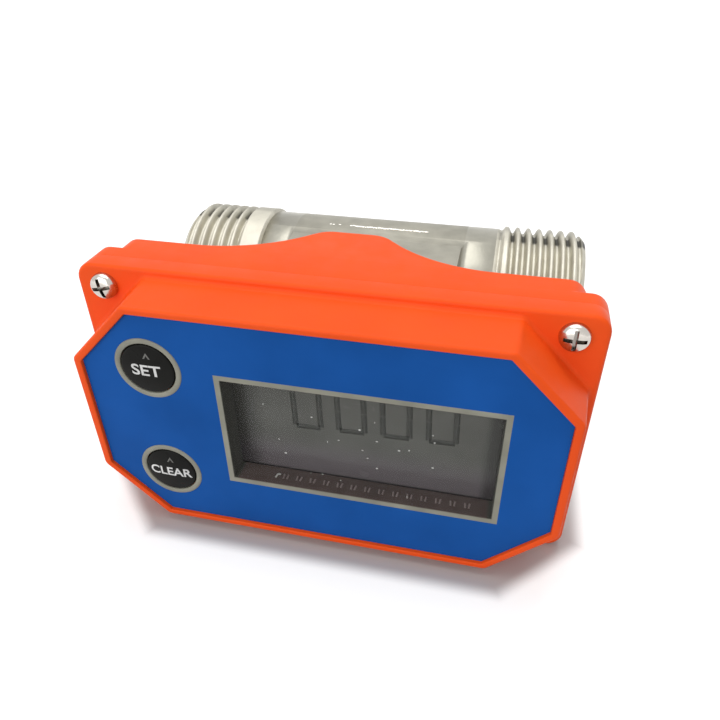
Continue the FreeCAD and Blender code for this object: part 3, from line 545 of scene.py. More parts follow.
def joinRings(bm, rings, closed=False):
    # rings of equal length, joined by quads
    made = [[bm.verts.new(point) for point in ring] for ring in rings]
    pairs = list(zip(made, made[1:]))
    if closed:
        pairs.append((made[-1], made[0]))
    for lower, upper in pairs:
        for n in range(len(lower)):
            m = (n + 1) % len(lower)
            bm.faces.new((lower[n], lower[m], upper[m], upper[n]))
    return made


def loft(rings, closed=False):
    # a mesh through rings of equal length, joined to the first again or capped at both ends
    bm = bmesh.new()
    made = joinRings(bm, rings, closed)
    if not closed:
        bm.faces.new(made[0])
        bm.faces.new(made[-1])
    return meshOf(bm)


def arc(turn, steps):
    # cosine and sine at even steps from 0 to a turn in degrees
    for n in range(steps + 1):
        angle = math.radians(turn) * n / steps
        yield math.cos(angle), math.sin(angle)


def circle(segments):
    angles = (2 * math.pi * n / segments for n in range(segments))
    return [(math.cos(angle), math.sin(angle)) for angle in angles]


def ringRoundFlow(x, radius, segments):
    return [(x, radius * c, radius * s) for c, s in circle(segments)]


def ringRoundButton(centre, y, radius, segments):
    return [(centre[0] + radius * c, y, centre[1] + radius * s) for c, s in circle(segments)]


def roundedOutline(corners, radius, steps=5):
    # closed outline in a plane, every corner replaced by an arc
    points = []
    for n, here in enumerate(corners):
        before = (corners[n - 1] - here).normalized()
        after = (corners[(n + 1) % len(corners)] - here).normalized()
        halfAngle = before.angle(after) / 2
        centre = here + (before + after).normalized() * (radius / math.sin(halfAngle))
        start = here + before * (radius / math.tan(halfAngle)) - centre
        end = here + after * (radius / math.tan(halfAngle)) - centre
        sweep = start.angle(end)
        for k in range(steps + 1):
            share = k / steps
            points.append(centre + (start * math.sin((1 - share) * sweep)
                                    + end * math.sin(share * sweep)) / math.sin(sweep))
    return points


def octagon(halfX, halfZ, chamfer, radius, y, centreX=middleX):
    corners = [(halfX, halfZ - chamfer), (halfX - chamfer, halfZ), (chamfer - halfX, halfZ),
               (-halfX, halfZ - chamfer), (-halfX, chamfer - halfZ), (chamfer - halfX, -halfZ),
               (halfX - chamfer, -halfZ), (halfX, chamfer - halfZ)]
    outline = roundedOutline([Vector(c) for c in corners], radius)
    return [(centreX + p.x, y, p.y) for p in outline]


def roundRect(halfX, halfZ, radius, y, centreX=middleX):
    # an octagon whose corner arcs meet is a rectangle with round corners
    return octagon(halfX, halfZ, radius * (2 - math.sqrt(2)), radius * 0.998, y, centreX)


# front bezel

bezel = {
    "plate": 2.2 * mm,
    "wall": 2.3 * mm,
    "flange": 3.8 * mm,
    "flangeCorner": 3.2 * mm,
    "flangeRound": 0.7 * mm,
    "partingRound": 0.05 * mm,
    "footRound": 0.8 * mm,
    "draftX": 0.8 * mm,
    "draftZ": 0.2 * mm,
    "rimX": 1.5 * mm,
    "rimZ": 1.3 * mm,
    "rimRound": 0.5 * mm,
    "cornerRound": 1.4 * mm,
    "faceChamfer": 10.4 * mm,
    "lipRound": 0.25 * mm,  # the rim's inner edge
    "overlayGap": 0.05 * mm,
    "overlayCorner": 0.3 * mm,
    "cavityCorner": 1.0 * mm,
    "windowCorner": 0.3 * mm,
    "trimWidth": 1.0 * mm,
    "trimLap": 0.1 * mm,  # how far the trim laps over the plate round the opening
}
button = {
    "radius": 4.8 * mm,
    "gap": 0.15 * mm,
    "dome": 0.32 * mm,
    "edge": 0.35 * mm,
    "ring": 1.0 * mm,
    "collar": 1.0 * mm,
    "stem": 2.2 * mm,
}


def grownChamfer(growX, growZ):
    return bezel["faceChamfer"] + (growX + growZ) / 2 * (2 - math.sqrt(2))


def faceOctagon(growX, growZ, radius, y):
    # the overlay's outline, grown outwards
    low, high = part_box("face_overlay")
    return octagon((high.x - low.x) / 2 + growX, (high.z - low.z) / 2 + growZ,
                   grownChamfer(growX, growZ), radius, y)


def buttonCentre(node):
    low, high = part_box(node)
    return ((low.x + high.x) / 2, (low.z + high.z) / 2)


def fillWithHoles(bm, outline, holes):
    edges = []
    for loop in [outline] + holes:
        for n in range(len(loop)):
            edges.append(bm.edges.get((loop[n - 1], loop[n])) or bm.edges.new((loop[n - 1], loop[n])))
    bmesh.ops.triangle_fill(bm, edges=edges, use_beauty=True)


def windowSize(trim):
    # middle and half sizes of the opening inside the trim
    low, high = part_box("window_trim")
    return (low.x + high.x) / 2, (high.x - low.x) / 2 - trim, high.z - trim


def flangeRing(inset, y):
    low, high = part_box("front_bezel")
    return roundRect((high.x - low.x) / 2 - inset, high.z - inset, bezel["flangeCorner"] - inset, y)


def rimRing(share, inset, grow, y):
    # the rim's outline with a share of its draft
    return faceOctagon(bezel["rimX"] + bezel["draftX"] * share - inset,
                       bezel["rimZ"] + bezel["draftZ"] * share - inset, bezel["cornerRound"] + grow, y)


def bezelRings(plateFront, plateBack):
    # from the back of the plate out over the flange, up the rim and down to the plate's front
    low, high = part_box("front_bezel")
    parting, rimY = high.y, low.y
    flangeY = parting - bezel["flange"]
    joint, soft = bezel["partingRound"], bezel["flangeRound"]
    foot, edge = bezel["footRound"], bezel["rimRound"]
    inwardX, inwardZ = bezel["rimX"] - bezel["wall"], bezel["rimZ"] - bezel["wall"]
    rings = [faceOctagon(inwardX, inwardZ, bezel["cavityCorner"], y) for y in (plateBack, parting)]
    for up, out in arc(90, 3):
        rings.append(flangeRing(joint * (1 - out), parting - joint * (1 - up)))
    for out, up in arc(90, 6):
        rings.append(flangeRing(soft * (1 - out), flangeY + soft * (1 - up)))
    for up, out in arc(90, 5):
        grow = foot * (1 - out)
        rings.append(rimRing(1, -grow, grow, flangeY - foot * (1 - up)))
    rise = flangeY - rimY
    for out, up in arc(90, 5):
        depth = edge * (1 - up)
        rings.append(rimRing(depth / rise, edge * (1 - out), 0, rimY + depth))
    gap, inner, corner = bezel["overlayGap"], bezel["lipRound"], bezel["overlayCorner"]
    for out, up in arc(90, 3):
        grow = gap + inner * (1 - up)
        rings.append(faceOctagon(grow, grow, corner, rimY + inner * (1 - out)))
    rings.append(faceOctagon(gap, gap, corner, plateFront))
    return rings


def makeBezel():
    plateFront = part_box("face_overlay")[1].y
    plateBack = plateFront + bezel["plate"]
    bm = bmesh.new()
    made = joinRings(bm, bezelRings(plateFront, plateBack))
    centre, halfX, halfZ = windowSize(bezel["trimWidth"] - bezel["trimLap"])
    holes = [[roundRect(halfX, halfZ, bezel["windowCorner"], y, centre) for y in (plateFront, plateBack)]]
    for node in ("set_button", "clear_button"):
        holes.append([ringRoundButton(buttonCentre(node), y, button["radius"] + button["gap"], 48)
                      for y in (plateFront, plateBack)])
    walls = [joinRings(bm, hole) for hole in holes]
    fillWithHoles(bm, made[-1], [wall[0] for wall in walls])
    fillWithHoles(bm, made[0], [wall[1] for wall in walls])
    piece = newPiece("bezelMoulding", meshOf(bm), "meter", "housing_plastic", sharp=30)
    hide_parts("front_bezel")


makeBezel()
print("front bezel made")


# rear housing: plan outlines stacked over its height, so that its top and bottom edges are round

rear = {
    "flange": 3.7 * mm,
    "flangeCorner": 3.2 * mm,
    "back": 4.0 * mm,  # flange to the flat of the back
    "overhang": 3.0 * mm,
    "boxCorner": 3.5 * mm,
    "neckFlat": 5.6 * mm,
    "neckRound": 5.0 * mm,
    "neckSweep": 25.6 * mm,
    "edge": 0.6 * mm,
    "stepRound": 0.45 * mm,
    "partingRound": 0.05 * mm,
}


def cornerInset(radius, depth):
    # how far a round edge of this radius has drawn in at a depth below the end face
    if depth >= radius:
        return 0.0
    return radius - math.sqrt(radius ** 2 - (radius - depth) ** 2)


def planOutline(depth):
    low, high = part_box("rear_housing")
    parting, face = low.y, high.y
    flangeBack = parting + rear["flange"]
    back = flangeBack + rear["back"]
    side = (high.x - low.x) / 2 - cornerInset(rear["flangeCorner"], depth)
    boxSide = (high.x - low.x) / 2 - rear["overhang"] - cornerInset(rear["boxCorner"], depth)
    skin = cornerInset(rear["edge"], depth)
    eighth = math.pi / 8
    sweep = rear["neckSweep"] + skin
    convex = rear["neckRound"] - skin
    flat = rear["neckFlat"] - skin * math.tan(eighth)
    foot = flat + face - back
    q, r = rear["partingRound"], rear["stepRound"]
    points = [(side - q + q * s, parting + q - q * c) for c, s in arc(90, 3)]
    points += [(side - r + r * c, flangeBack - skin - r + r * s) for c, s in arc(90, 4)]
    points += [(boxSide + r - r * s, flangeBack - skin + r - r * c) for c, s in arc(90, 4)]
    points += [(boxSide - r + r * c, back - skin - r + r * s) for c, s in arc(90, 4)]
    points += [(foot + sweep * (math.tan(eighth) - s), back - skin + sweep * (1 - c))
               for c, s in arc(45, 14)]
    start = (flat - convex * math.tan(eighth), face - skin)
    points += [(start[0] + convex * math.cos(math.pi / 2 - a), start[1] - convex * (1 - math.cos(a)))
               for a in (math.pi / 4 * (1 - n / 6) for n in range(7))]
    return points + [(-x, y) for x, y in reversed(points)]


def makeRearHousing():
    low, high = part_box("rear_housing")
    steps = {0.0}
    for size, count in ((rear["edge"], 7), (rear["flangeCorner"], 10), (rear["boxCorner"], 10)):
        steps.update(round(size * (1 - c), 7) for c, s in arc(90, count))
    depths = sorted(steps)
    levels = [(low.z + d, d) for d in depths] + [(high.z - d, d) for d in reversed(depths)]
    bm = bmesh.new()
    rings = joinRings(bm, [[(middleX + x, y, z) for x, y in planOutline(depth)] for z, depth in levels])
    bm.faces.new(rings[0])
    bm.faces.new(rings[-1])
    bmesh.ops.dissolve_degenerate(bm, dist=1e-7, edges=bm.edges[:])
    piece = newPiece("rearMoulding", meshOf(bm), "meter", "housing_plastic", sharp=30)
    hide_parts("rear_housing")


makeRearHousing()
print("rear housing made")


# geometry node trees

def newTree(name):
    tree = bpy.data.node_groups.new(name, "GeometryNodeTree")
    tree.interface.new_socket(name="Geometry", in_out="OUTPUT", socket_type="NodeSocketGeometry")
    tree.nodes.new("NodeGroupInput")
    tree.nodes.new("NodeGroupOutput")
    return tree


def ask(tree, *names, kind="NodeSocketFloat"):
    # named inputs of the tree
    for name in names:
        tree.interface.new_socket(name=name, in_out="INPUT", socket_type=kind)
    return [tree.nodes["Group Input"].outputs[name] for name in names]


def askShape(tree, name):
    return ask(tree, name, kind="NodeSocketGeometry")[0]


def endTree(tree, geometry, finish):
    real = addNode(tree, "GeometryNodeRealizeInstances", {"Geometry": geometry})
    coat = addNode(tree, "GeometryNodeSetMaterial", {
        "Geometry": real.outputs[0], "Material": finishes[finish]})
    tree.links.new(coat.outputs[0], tree.nodes["Group Output"].inputs[0])
    return tree


def strewGrains(tree, points, radius, seed, stretch, finish):
    # a small ball on each point, stretched at random
    ball = addNode(tree, "GeometryNodeMeshIcoSphere", {"Radius": radius, "Subdivisions": 2})
    grains = addNode(tree, "GeometryNodeInstanceOnPoints", {
        "Points": points, "Instance": ball.outputs["Mesh"],
        "Scale": randomVector(tree, seed, *stretch)})
    return endTree(tree, grains.outputs[0], finish)


def growPiece(piece, tree, values, sharp=None):
    # runs the tree on a piece, its inputs set by their names, and keeps the result as its plain mesh
    modifier = piece.modifiers.new("growth", "NODES")
    modifier.node_group = tree
    for item in tree.interface.items_tree:
        if item.name in values:
            modifier[item.identifier] = values[item.name]
    bpy.context.view_layer.update()
    evaluated = piece.evaluated_get(bpy.context.evaluated_depsgraph_get())
    mesh = bpy.data.meshes.new_from_object(evaluated)
    piece.modifiers.remove(modifier)
    piece.data = mesh
    mesh.name = piece.name
    if sharp:
        mesh.shade_smooth()
        mesh.set_sharp_from_angle(angle=math.radians(sharp))


# flow body: the cast block and bores from the frame, with a real thread at both ends

def threadTree():
    # cuts a right-hand screw groove into whatever lies between start and end, outside the core
    tree = newTree("screwThread")
    geometry = askShape(tree, "blank")
    start, end, pitch, depth, crest, core = ask(tree, "start", "end", "pitch", "depth", "radius", "core")
    x, y, z = partsOf(tree, addNode(tree, "GeometryNodeInputPosition").outputs[0])
    radius = diagonal(tree, y, z)
    turn = calc(tree, "DIVIDE", calc(tree, "ARCTAN2", z, y), 2 * math.pi)
    along = calc(tree, "SUBTRACT", calc(tree, "DIVIDE", x, pitch), turn)
    wave = softRamp(tree, calc(tree, "PINGPONG", along, 0.5), thread["crestShare"], thread["rootShare"])
    runOut = product(tree, pitch, thread["runOut"])
    fade = calc(tree, "MINIMUM", calc(tree, "DIVIDE", calc(tree, "SUBTRACT", x, start), runOut, True),
                calc(tree, "DIVIDE", calc(tree, "SUBTRACT", end, x), runOut, True))
    cut = calc(tree, "SUBTRACT", crest, product(tree, wave, depth, fade))
    scale = calc(tree, "DIVIDE", calc(tree, "MINIMUM", radius, cut), calc(tree, "MAXIMUM", radius, 1 * mm))
    threaded = addNode(tree, "GeometryNodeSetPosition", {
        "Geometry": geometry, "Selection": calc(tree, "GREATER_THAN", radius, core),
        "Position": vectorOf(tree, x, product(tree, y, scale), product(tree, z, scale))})
    return endTree(tree, threaded.outputs[0], "turned_steel")


def endX(side, distance):
    # a place this far in from the inlet face (side -1) or the outlet face (side 1)
    low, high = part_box("flow_body")
    return low.x + distance if side < 0 else high.x - distance


def threadBlank(side, collar):
    # closed ring with the chamfer and the step, fine enough to take the thread
    crest, chamfer = thread["radius"], thread["chamfer"]
    end, steps = thread["zone"], thread["segments"]
    inside = thread["core"] - thread["sleeve"]
    profile = [(thread["endGap"], inside), (thread["endGap"], crest - chamfer)]
    for n in range(1, steps + 1):
        along = (end - thread["step"]) * n / steps
        radius = min(crest, crest - chamfer + along)
        if side > 0 and end - collar < along:
            radius = crest - thread["notch"] * math.sin(math.pi * (along - end + collar) / collar)
        profile.append((along, radius))
    profile += [(end, crest - thread["relief"]), (end, inside)]
    return loft([ringRoundFlow(endX(side, d), r, steps) for d, r in profile], closed=True)


def makeThreads():
    tree = threadTree()
    for side, name in ((-1, "inletThread"), (1, "outletThread")):
        collar = thread["collars"][name]
        piece = newPiece(name, threadBlank(side, collar), "meter", "cast_steel", "turned_steel")
        near = endX(side, -thread["pitch"])
        far = endX(side, thread["zone"] - collar)
        growPiece(piece, tree, {**thread, "start": min(near, far), "end": max(near, far)}, sharp=50)


def makeCastBody():
    # the ends of the body drawn in to the core, to make room for the threads
    bm = bmesh.new()
    bm.from_mesh(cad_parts["flow_body"].data)
    bmesh.ops.remove_doubles(bm, verts=bm.verts[:], dist=1e-6)
    reach = (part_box("flow_body")[1].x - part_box("flow_body")[0].x) / 2 - thread["zone"]
    for vert in bm.verts:
        radius = math.hypot(vert.co.y, vert.co.z)
        if abs(vert.co.x - middleX) > reach + thread["margin"] and radius > thread["core"]:
            vert.co.y *= thread["core"] / radius
            vert.co.z *= thread["core"] / radius
    piece = newPiece("castBody", meshOf(bm, False), "meter", "cast_steel", sharp=30)
    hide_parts("flow_body")


ridge = {
    "start": -6.7 * mm,  # along the flow from the middle
    "end": 10.2 * mm,
    "across": -1.5 * mm,
    "radius": 15.95 * mm,
    "grains": 46,
    "grain": 0.38 * mm,
    "loose": (-11.3 * mm, -10.6 * mm, -9.2 * mm),  # beads apart from the ridge
    "jitter": ((-0.10 * mm, -0.13 * mm, -0.03 * mm), (0.10 * mm, 0.13 * mm, 0.02 * mm)),
    "stretch": ((0.8, 0.45, 0.25), (1.7, 0.9, 0.5)),  # the least and the most, along each axis
}


def ridgeTree():
    # ground stub of a casting seam: a row of small overlapping bright grains
    tree = newTree("castingSeam")
    spots = askShape(tree, "spots")
    size, = ask(tree, "grain")
    jitter = randomVector(tree, 11, *ridge["jitter"])
    moved = addNode(tree, "GeometryNodeSetPosition", {"Geometry": spots, "Offset": jitter})
    return strewGrains(tree, moved.outputs[0], size, 5, ridge["stretch"], "mark_steel")


def makeSeam():
    count = ridge["grains"]
    step = (ridge["end"] - ridge["start"]) / (count - 1)
    places = [ridge["start"] + n * step for n in range(count)] + list(ridge["loose"])
    height = math.sqrt(ridge["radius"] ** 2 - ridge["across"] ** 2)
    spots = plainMesh([(middleX + x, ridge["across"], height) for x in places])
    piece = newPiece("castingSeam", spots, "meter", "cast_steel", "mark_steel")
    growPiece(piece, ridgeTree(), {"grain": ridge["grain"]}, sharp=180)


makeThreads()
makeCastBody()
makeSeam()
print("flow body made")


# cover screws: pan heads with a cross recess

coverScrew = {
    "headRadius": 2.4 * mm,
    "headHeight": 1.7 * mm,
    "recessLength": 4.7 * mm,  # the slots run out to the rim
    "recessWidth": 0.85 * mm,
    "recessDepth": 1.0 * mm,
    "recessTaper": 0.6,
    "crown": 0.62,  # powers that turn a half ball into a pan: lower is flatter on top
    "fullness": 0.72,  # and steeper at the side
    "turn": 0.25,  # the most that a screw is turned either way, in radians
}


def markRecess(tree, geometry, value):
    # a face attribute that tells the recess from the rest of the head
    marked = addNode(tree, "GeometryNodeStoreNamedAttribute", {
        "Geometry": geometry, "Name": "recess", "Value": value}, data_type="FLOAT", domain="FACE")
    return marked.outputs[0]


def crossCutters(tree, length, width, depth, height):
    # two tapered bars across each other, sunk into the top of the head
    wing = addNode(tree, "GeometryNodeMeshCone", {
        "Vertices": 4, "Radius Top": 1.0, "Radius Bottom": coverScrew["recessTaper"], "Depth": 2.0})
    square = addNode(tree, "GeometryNodeTransform", {
        "Geometry": wing.outputs["Mesh"], "Rotation": (0, 0, math.pi / 4), "Translation": (0, 0, -1)})
    side = math.sqrt(0.5)  # of a square whose corners lie at a distance of 1
    lift = vectorOf(tree, 0.0, 0.0, product(tree, height, 1.02))  # a little above the head
    cutters = addNode(tree, "GeometryNodeJoinGeometry")
    for a, b in ((length, width), (width, length)):
        size = vectorOf(tree, product(tree, a, side), product(tree, b, side), depth)
        raised = addNode(tree, "GeometryNodeTransform", {
            "Geometry": square.outputs[0], "Scale": size, "Translation": lift})
        tree.links.new(raised.outputs[0], cutters.inputs[0])
    return cutters.outputs[0]


def screwTree():
    tree = newTree("panHeads")
    seats = askShape(tree, "seats")
    radius, height = ask(tree, "headRadius", "headHeight")
    length, width, depth = ask(tree, "recessLength", "recessWidth", "recessDepth")
    ball = addNode(tree, "GeometryNodeMeshUVSphere", {"Segments": 48, "Rings": 24, "Radius": 1.0})
    x, y, z = partsOf(tree, addNode(tree, "GeometryNodeInputPosition").outputs[0])
    # the half ball below z = 0 is pressed flat on the seat, the upper one becomes a cushion-shaped pan
    bulge = calc(tree, "POWER", calc(tree, "MAXIMUM", z, 0.0), coverScrew["crown"])
    around = diagonal(tree, x, y)
    full = calc(tree, "POWER", around, coverScrew["fullness"])
    wide = calc(tree, "DIVIDE", full, calc(tree, "MAXIMUM", around, 0.0001))
    pan = vectorOf(tree, product(tree, x, wide, radius), product(tree, y, wide, radius),
                   product(tree, bulge, height))
    head = addNode(tree, "GeometryNodeSetPosition", {"Geometry": ball.outputs["Mesh"], "Position": pan})
    cutters = crossCutters(tree, length, width, depth, height)
    cut = addNode(tree, "GeometryNodeMeshBoolean", {
        "Mesh 1": markRecess(tree, head.outputs[0], 0.0), "Mesh 2": markRecess(tree, cutters, 1.0),
        "Self Intersection": True}, operation="DIFFERENCE", solver="EXACT")
    most = coverScrew["turn"]
    heads = addNode(tree, "GeometryNodeInstanceOnPoints", {
        "Points": seats, "Instance": cut.outputs[0],
        "Rotation": randomVector(tree, 4, (math.pi / 2, -most, 0.0), (math.pi / 2, most, 0.0))})
    return endTree(tree, heads.outputs[0], "screw_steel")


def makeCoverScrews():
    low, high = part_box("cover_screws")
    inset = coverScrew["headRadius"]
    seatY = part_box("front_bezel")[1].y - bezel["flange"]
    seats = plainMesh([(x, seatY, z) for x in (low.x + inset, high.x - inset)
                       for z in (low.z + inset, high.z - inset)])
    piece = newPiece("coverScrewHeads", seats, "meter", "screw_steel")
    growPiece(piece, screwTree(), coverScrew, sharp=40)
    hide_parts("cover_screws")


makeCoverScrews()
print("cover screws made")


# buttons, their rings and words

def turnedPiece(name, centre, profile, body, slot, closed=False, segments=72):
    rings = [ringRoundButton(centre, y, radius, segments) for y, radius in profile]
    return newPiece(name, loft(rings, closed), body, slot)


def capHeight(node, radius):
    # the front of the domed cap at a distance from its middle
    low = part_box(node)[0].y
    return low + button["dome"] * (radius / button["radius"]) ** 2


def makeButton(node, body, text, size, place):
    centre = buttonCentre(node)
    radius, edge = button["radius"], button["edge"]
    profile = [(capHeight(node, share * radius), share * radius) for share in (0.02, 0.2, 0.4, 0.6, 0.8)]
    rimY = capHeight(node, radius - edge)
    profile += [(rimY + edge * (1 - c), radius - edge + edge * s) for c, s in arc(90, 6)]
    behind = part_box("face_overlay")[1].y + bezel["plate"] + button["gap"]
    collar, stem = button["collar"], button["stem"]
    profile += [(behind, radius), (behind, radius + collar), (behind + collar, radius + collar),
                (behind + collar, stem), (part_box(node)[1].y, stem)]
    cap = turnedPiece(node + "Cap", centre, profile, body, "button_black")
    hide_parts(node)
    writeWord(node, body, text, size, place)
    pointMark(node, body)


def layOnCap(mesh, node, place, size):
    # scales a flat mesh and lays it on the front of the domed cap, its raised side forward
    xs = [v.co.x for v in mesh.vertices]
    ys = [v.co.y for v in mesh.vertices]
    top = max(v.co.z for v in mesh.vertices)
    centre = buttonCentre(node)
    for vert in mesh.vertices:
        x = ((vert.co.x - min(xs)) / (max(xs) - min(xs)) - 0.5) * size[0] + place[0]
        z = ((vert.co.y - min(ys)) / (max(ys) - min(ys)) - 0.5) * size[1] + place[1]
        stand = word["stand"] if vert.co.z > top / 2 else -word["stand"]
        vert.co = (centre[0] + x, capHeight(node, math.hypot(x, z)) - stand, centre[1] + z)


def writeWord(node, body, text, size, place):
    curve = bpy.data.curves.new(text, "FONT")
    curve.body = text
    curve.offset = word["bold"]
    curve.extrude = word["depth"]
    letters = bpy.data.objects.new(text, curve)
    scene.collection.objects.link(letters)
    bpy.context.view_layer.update()
    mesh = bpy.data.meshes.new_from_object(letters.evaluated_get(bpy.context.evaluated_depsgraph_get()))
    bpy.data.objects.remove(letters)
    layOnCap(mesh, node, place, size)
    newPiece(node + "Word", mesh, body, "button_black", "word_white")


def pointMark(node, body):
    # small raised arrowhead above the word
    bm = bmesh.new()
    inner = word["markInner"]
    outline = [(-1, 0), (0, 1), (1, 0), (inner, 0), (0, inner), (-inner, 0)]
    corners = [bm.verts.new((x, y, 0)) for x, y in outline]
    for quad in ((0, 1, 4, 5), (1, 2, 3, 4)):
        bm.faces.new([corners[n] for n in quad])
    flat = bmesh.ops.extrude_face_region(bm, geom=bm.faces[:])
    for part in flat["geom"]:
        if isinstance(part, bmesh.types.BMVert):
            part.co.z += word["depth"]
    mesh = meshOf(bm)
    layOnCap(mesh, node, word["markPlace"], word["markSize"])
    newPiece(node + "Mark", mesh, body, "button_black", "mark_grey")


word = {
    "bold": 0.018,
    "depth": 0.02,  # of the flat letters, before they are laid on the cap
    "stand": 0.03 * mm,
    "markInner": 0.55,  # the arrowhead's inner edge, as a share of the outer
    "markPlace": (0.35 * mm, 2.8 * mm),
    "markSize": (1.3 * mm, 1.1 * mm),
}
makeButton("set_button", "set_key", "SET", (5.3 * mm, 2.2 * mm), (-0.12 * mm, -0.10 * mm))
makeButton("clear_button", "clear_key", "CLEAR", (8.1 * mm, 2.0 * mm), (0.1 * mm, -0.05 * mm))


def makeButtonRings():
    base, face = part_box("face_overlay")[1].y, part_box("face_overlay")[0].y
    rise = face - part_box("button_rings")[0].y
    inner, width = button["radius"] + button["gap"], button["ring"]
    profile = [(base, inner + width), (face, inner + width)]
    profile += [(face - rise * s, inner + width / 2 + width / 2 * c) for c, s in arc(180, 12)]
    profile.append((base, inner))
    for node in ("set_button", "clear_button"):
        ring = turnedPiece(node + "Ring", buttonCentre(node), profile, "meter", "trim_silver", closed=True)
        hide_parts("button_rings")


makeButtonRings()
print("buttons made")


# display: digits on the glass, contacts, a bright flake that stands in for a glint, and a brown lining of
# painted shade behind a clear pane

display = {
    "paneThickness": 0.7 * mm,
    "paneRound": 0.08 * mm,
    "lining": 0.15 * mm,
    "liningLap": 0.09 * mm,  # how far the lining reaches under the trim
    "liningBack": 0.05 * mm,  # how far it starts behind the pane's front
    "liningGap": 0.01 * mm,  # between it and the glass
    "digits": 4,
    "firstDigit": -4.55 * mm,  # middle of the first upright stroke, from the middle of the face
    "digitPitch": 7.74 * mm,
    "digitWidth": 4.54 * mm,
    "digitHeight": 8.2 * mm,
    "digitFoot": 0.2 * mm,
    "digitGap": 0.10 * mm,
    "stroke": 1.0 * mm,
    "inkHeight": 0.012 * mm,
    "tilt": 1.8,  # degrees, the glass sits a little crooked
    "contacts": 14,
    "firstContact": -6.5 * mm,
    "contactPitch": 2.52 * mm,
    "contactGap": 0.62 * mm,
    "contactStart": 1.0 * mm,  # behind the overlay
    "contactLift": 0.06 * mm,
    "contactLength": 1.15 * mm,
    "contactSplay": 0.1 * mm,
    "contactTrim": 0.02 * mm,
    "contactStroke": 0.32 * mm,
    "contactThick": 0.05 * mm,
    "flake": (-8.3 * mm, 1.0 * mm),  # a bright flake beside the contacts, a painted glint: place and length
    "flakeThick": 0.1 * mm,
    "specks": 22,
    "speckSize": 0.14 * mm,
    "speckStretch": ((0.4, 0.3, 0.4), (1.7, 0.4, 1.5)),
    "dustInset": 2.0 * mm,
    "dustBack": 0.05 * mm,  # behind the pane
    "dustReach": 0.8,  # the share of the window that has specks, up and to the sides
}


def barTree(finish):
    # turns every edge into a flat bar, shortened at both ends, its flat side to facing
    tree = newTree("flatBars")
    lines = askShape(tree, "lines")
    stroke, thickness, gap = ask(tree, "stroke", "thickness", "gap")
    facing, = ask(tree, "facing", kind="NodeSocketVector")
    runs = addNode(tree, "GeometryNodeMeshToCurve", {"Mesh": lines}).outputs[0]
    length = addNode(tree, "GeometryNodeSplineLength").outputs["Length"]
    short = addNode(tree, "GeometryNodeTrimCurve", {
        "Curve": runs, 4: gap, 5: calc(tree, "SUBTRACT", length, gap)}, mode="LENGTH")
    laid = addNode(tree, "GeometryNodeSetCurveNormal", {
        "Curve": short.outputs[0], "Normal": facing}, mode="FREE")
    section = addNode(tree, "GeometryNodeCurvePrimitiveQuadrilateral", {
        "Width": thickness, "Height": stroke})
    bars = addNode(tree, "GeometryNodeCurveToMesh", {
        "Curve": laid.outputs[0], "Profile Curve": section.outputs[0], "Fill Caps": True})
    return endTree(tree, bars.outputs[0], finish)


def edgePiece(name, points, slot, finish, **values):
    lines = plainMesh(points, [(n, n + 1) for n in range(0, len(points), 2)])
    growPiece(newPiece(name, lines, "meter", slot, finish), barTree(finish), values)


def onGlass(x, z):
    # a place on the crooked glass, measured from the middle of the face
    turn = math.radians(display["tilt"])
    return middleX + x * math.cos(turn) - z * math.sin(turn), z * math.cos(turn) + x * math.sin(turn)


def makeDigits():
    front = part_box("lcd_glass")[0].y - display["inkHeight"]
    wide, tall = display["digitWidth"], display["digitHeight"]
    corners = [(0, 0), (wide, 0), (wide, tall / 2), (wide, tall), (0, tall), (0, tall / 2)]
    points = []
    for digit in range(display["digits"]):
        left = display["firstDigit"] + digit * display["digitPitch"]
        for ends in zip(corners[-1:] + corners, corners):
            for x, z in ends:
                px, pz = onGlass(left + x, display["digitFoot"] + z)
                points.append((px, front, pz))
    edgePiece("displayDigits", points, "display_glass", "segment_grey", stroke=display["stroke"],
              thickness=display["inkHeight"], gap=display["digitGap"], facing=(0, 1, 0))


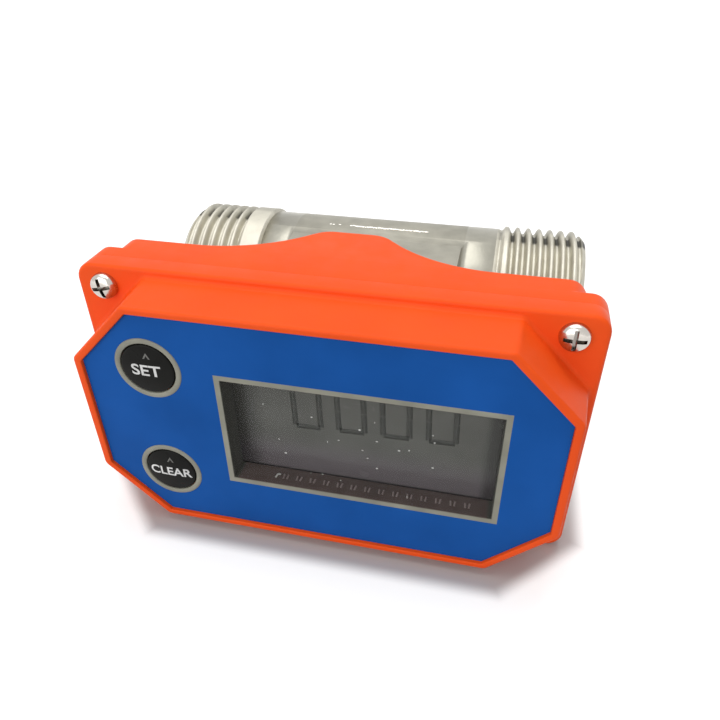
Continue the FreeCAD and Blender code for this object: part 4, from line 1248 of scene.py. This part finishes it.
def makeContacts():
    # tinned contacts, seen in pairs on the lower wall of the opening, and a bright flake beside them, a
    # painted glint
    floor = -windowSize(bezel["trimWidth"])[2] + display["lining"] + display["contactLift"]
    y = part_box("face_overlay")[1].y + display["contactStart"]
    points = []
    for n in range(display["contacts"]):
        middle = middleX + display["firstContact"] + n * display["contactPitch"]
        for side in (-1, 1):
            x = middle + side * display["contactGap"] / 2
            splay = side * display["contactSplay"]
            points += [(x, y, floor), (x + splay, y + display["contactLength"], floor)]
    bar = {"stroke": display["contactStroke"], "gap": display["contactTrim"], "facing": (0, 0, 1)}
    edgePiece("displayContacts", points, "cell_steel", "contact_tin",
              thickness=display["contactThick"], **bar)
    place, length = display["flake"]
    flake = [(middleX + place + x * length, y + z * length, floor)
             for x, z in ((0, 0), (0.2, 1), (0.15, 1), (0.7, 0.9))]
    edgePiece("glintFlake", flake, "display_glass", "dust_grey", thickness=display["flakeThick"], **bar)


def makeLining():
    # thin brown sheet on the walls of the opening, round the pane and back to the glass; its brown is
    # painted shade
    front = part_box("lcd_window")[0].y + display["liningBack"]
    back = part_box("lcd_glass")[0].y - display["liningGap"]
    centre, halfX, halfZ = windowSize(bezel["trimWidth"] - display["liningLap"])
    wall = display["lining"]
    rings = [roundRect(halfX - inset, halfZ - inset, bezel["windowCorner"], y, centre)
             for y, inset in ((front, 0), (back, 0), (back, wall), (front, wall))]
    newPiece("displayLining", loft(rings, closed=True), "meter", "switch_plastic", "lining_brown")


def dustTree():
    # small uneven specks strewn over a face
    tree = newTree("dustSpecks")
    field = askShape(tree, "field")
    density, size = ask(tree, "density", "speckSize")
    spots = addNode(tree, "GeometryNodeDistributePointsOnFaces", {
        "Mesh": field, "Density": density, "Seed": 7})
    return strewGrains(tree, spots.outputs["Points"], size, 3, display["speckStretch"], "dust_grey")


def strewDust():
    centre, halfX, halfZ = windowSize(display["dustInset"])
    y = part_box("lcd_window")[0].y + display["paneThickness"] + display["dustBack"]
    reach = display["dustReach"]
    field = [(centre + x * halfX, y, z * halfZ)
             for x, z in ((-reach, -1), (reach, -1), (reach, reach), (-reach, reach))]
    area = 2 * reach * halfX * (1 + reach) * halfZ
    mesh = plainMesh(field, faces=[(0, 1, 2, 3)])
    piece = newPiece("paneDust", mesh, "meter", "display_glass", "dust_grey")
    growPiece(piece, dustTree(), {**display, "density": display["specks"] / area})


def makePane():
    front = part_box("lcd_window")[0].y
    centre, halfX, halfZ = windowSize(bezel["trimWidth"] - display["liningLap"] + display["lining"])
    thick, soft = display["paneThickness"], display["paneRound"]
    rings = [roundRect(halfX - inset, halfZ - inset, bezel["windowCorner"], front + back, centre)
             for back, inset in ((thick, 0), (soft, 0), (0, soft))]
    piece = newPiece("smokedPane", loft(rings), "meter", "window_clear")
    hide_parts("lcd_window")


makePane()
makeLining()
makeDigits()
makeContacts()
strewDust()
print("display made")
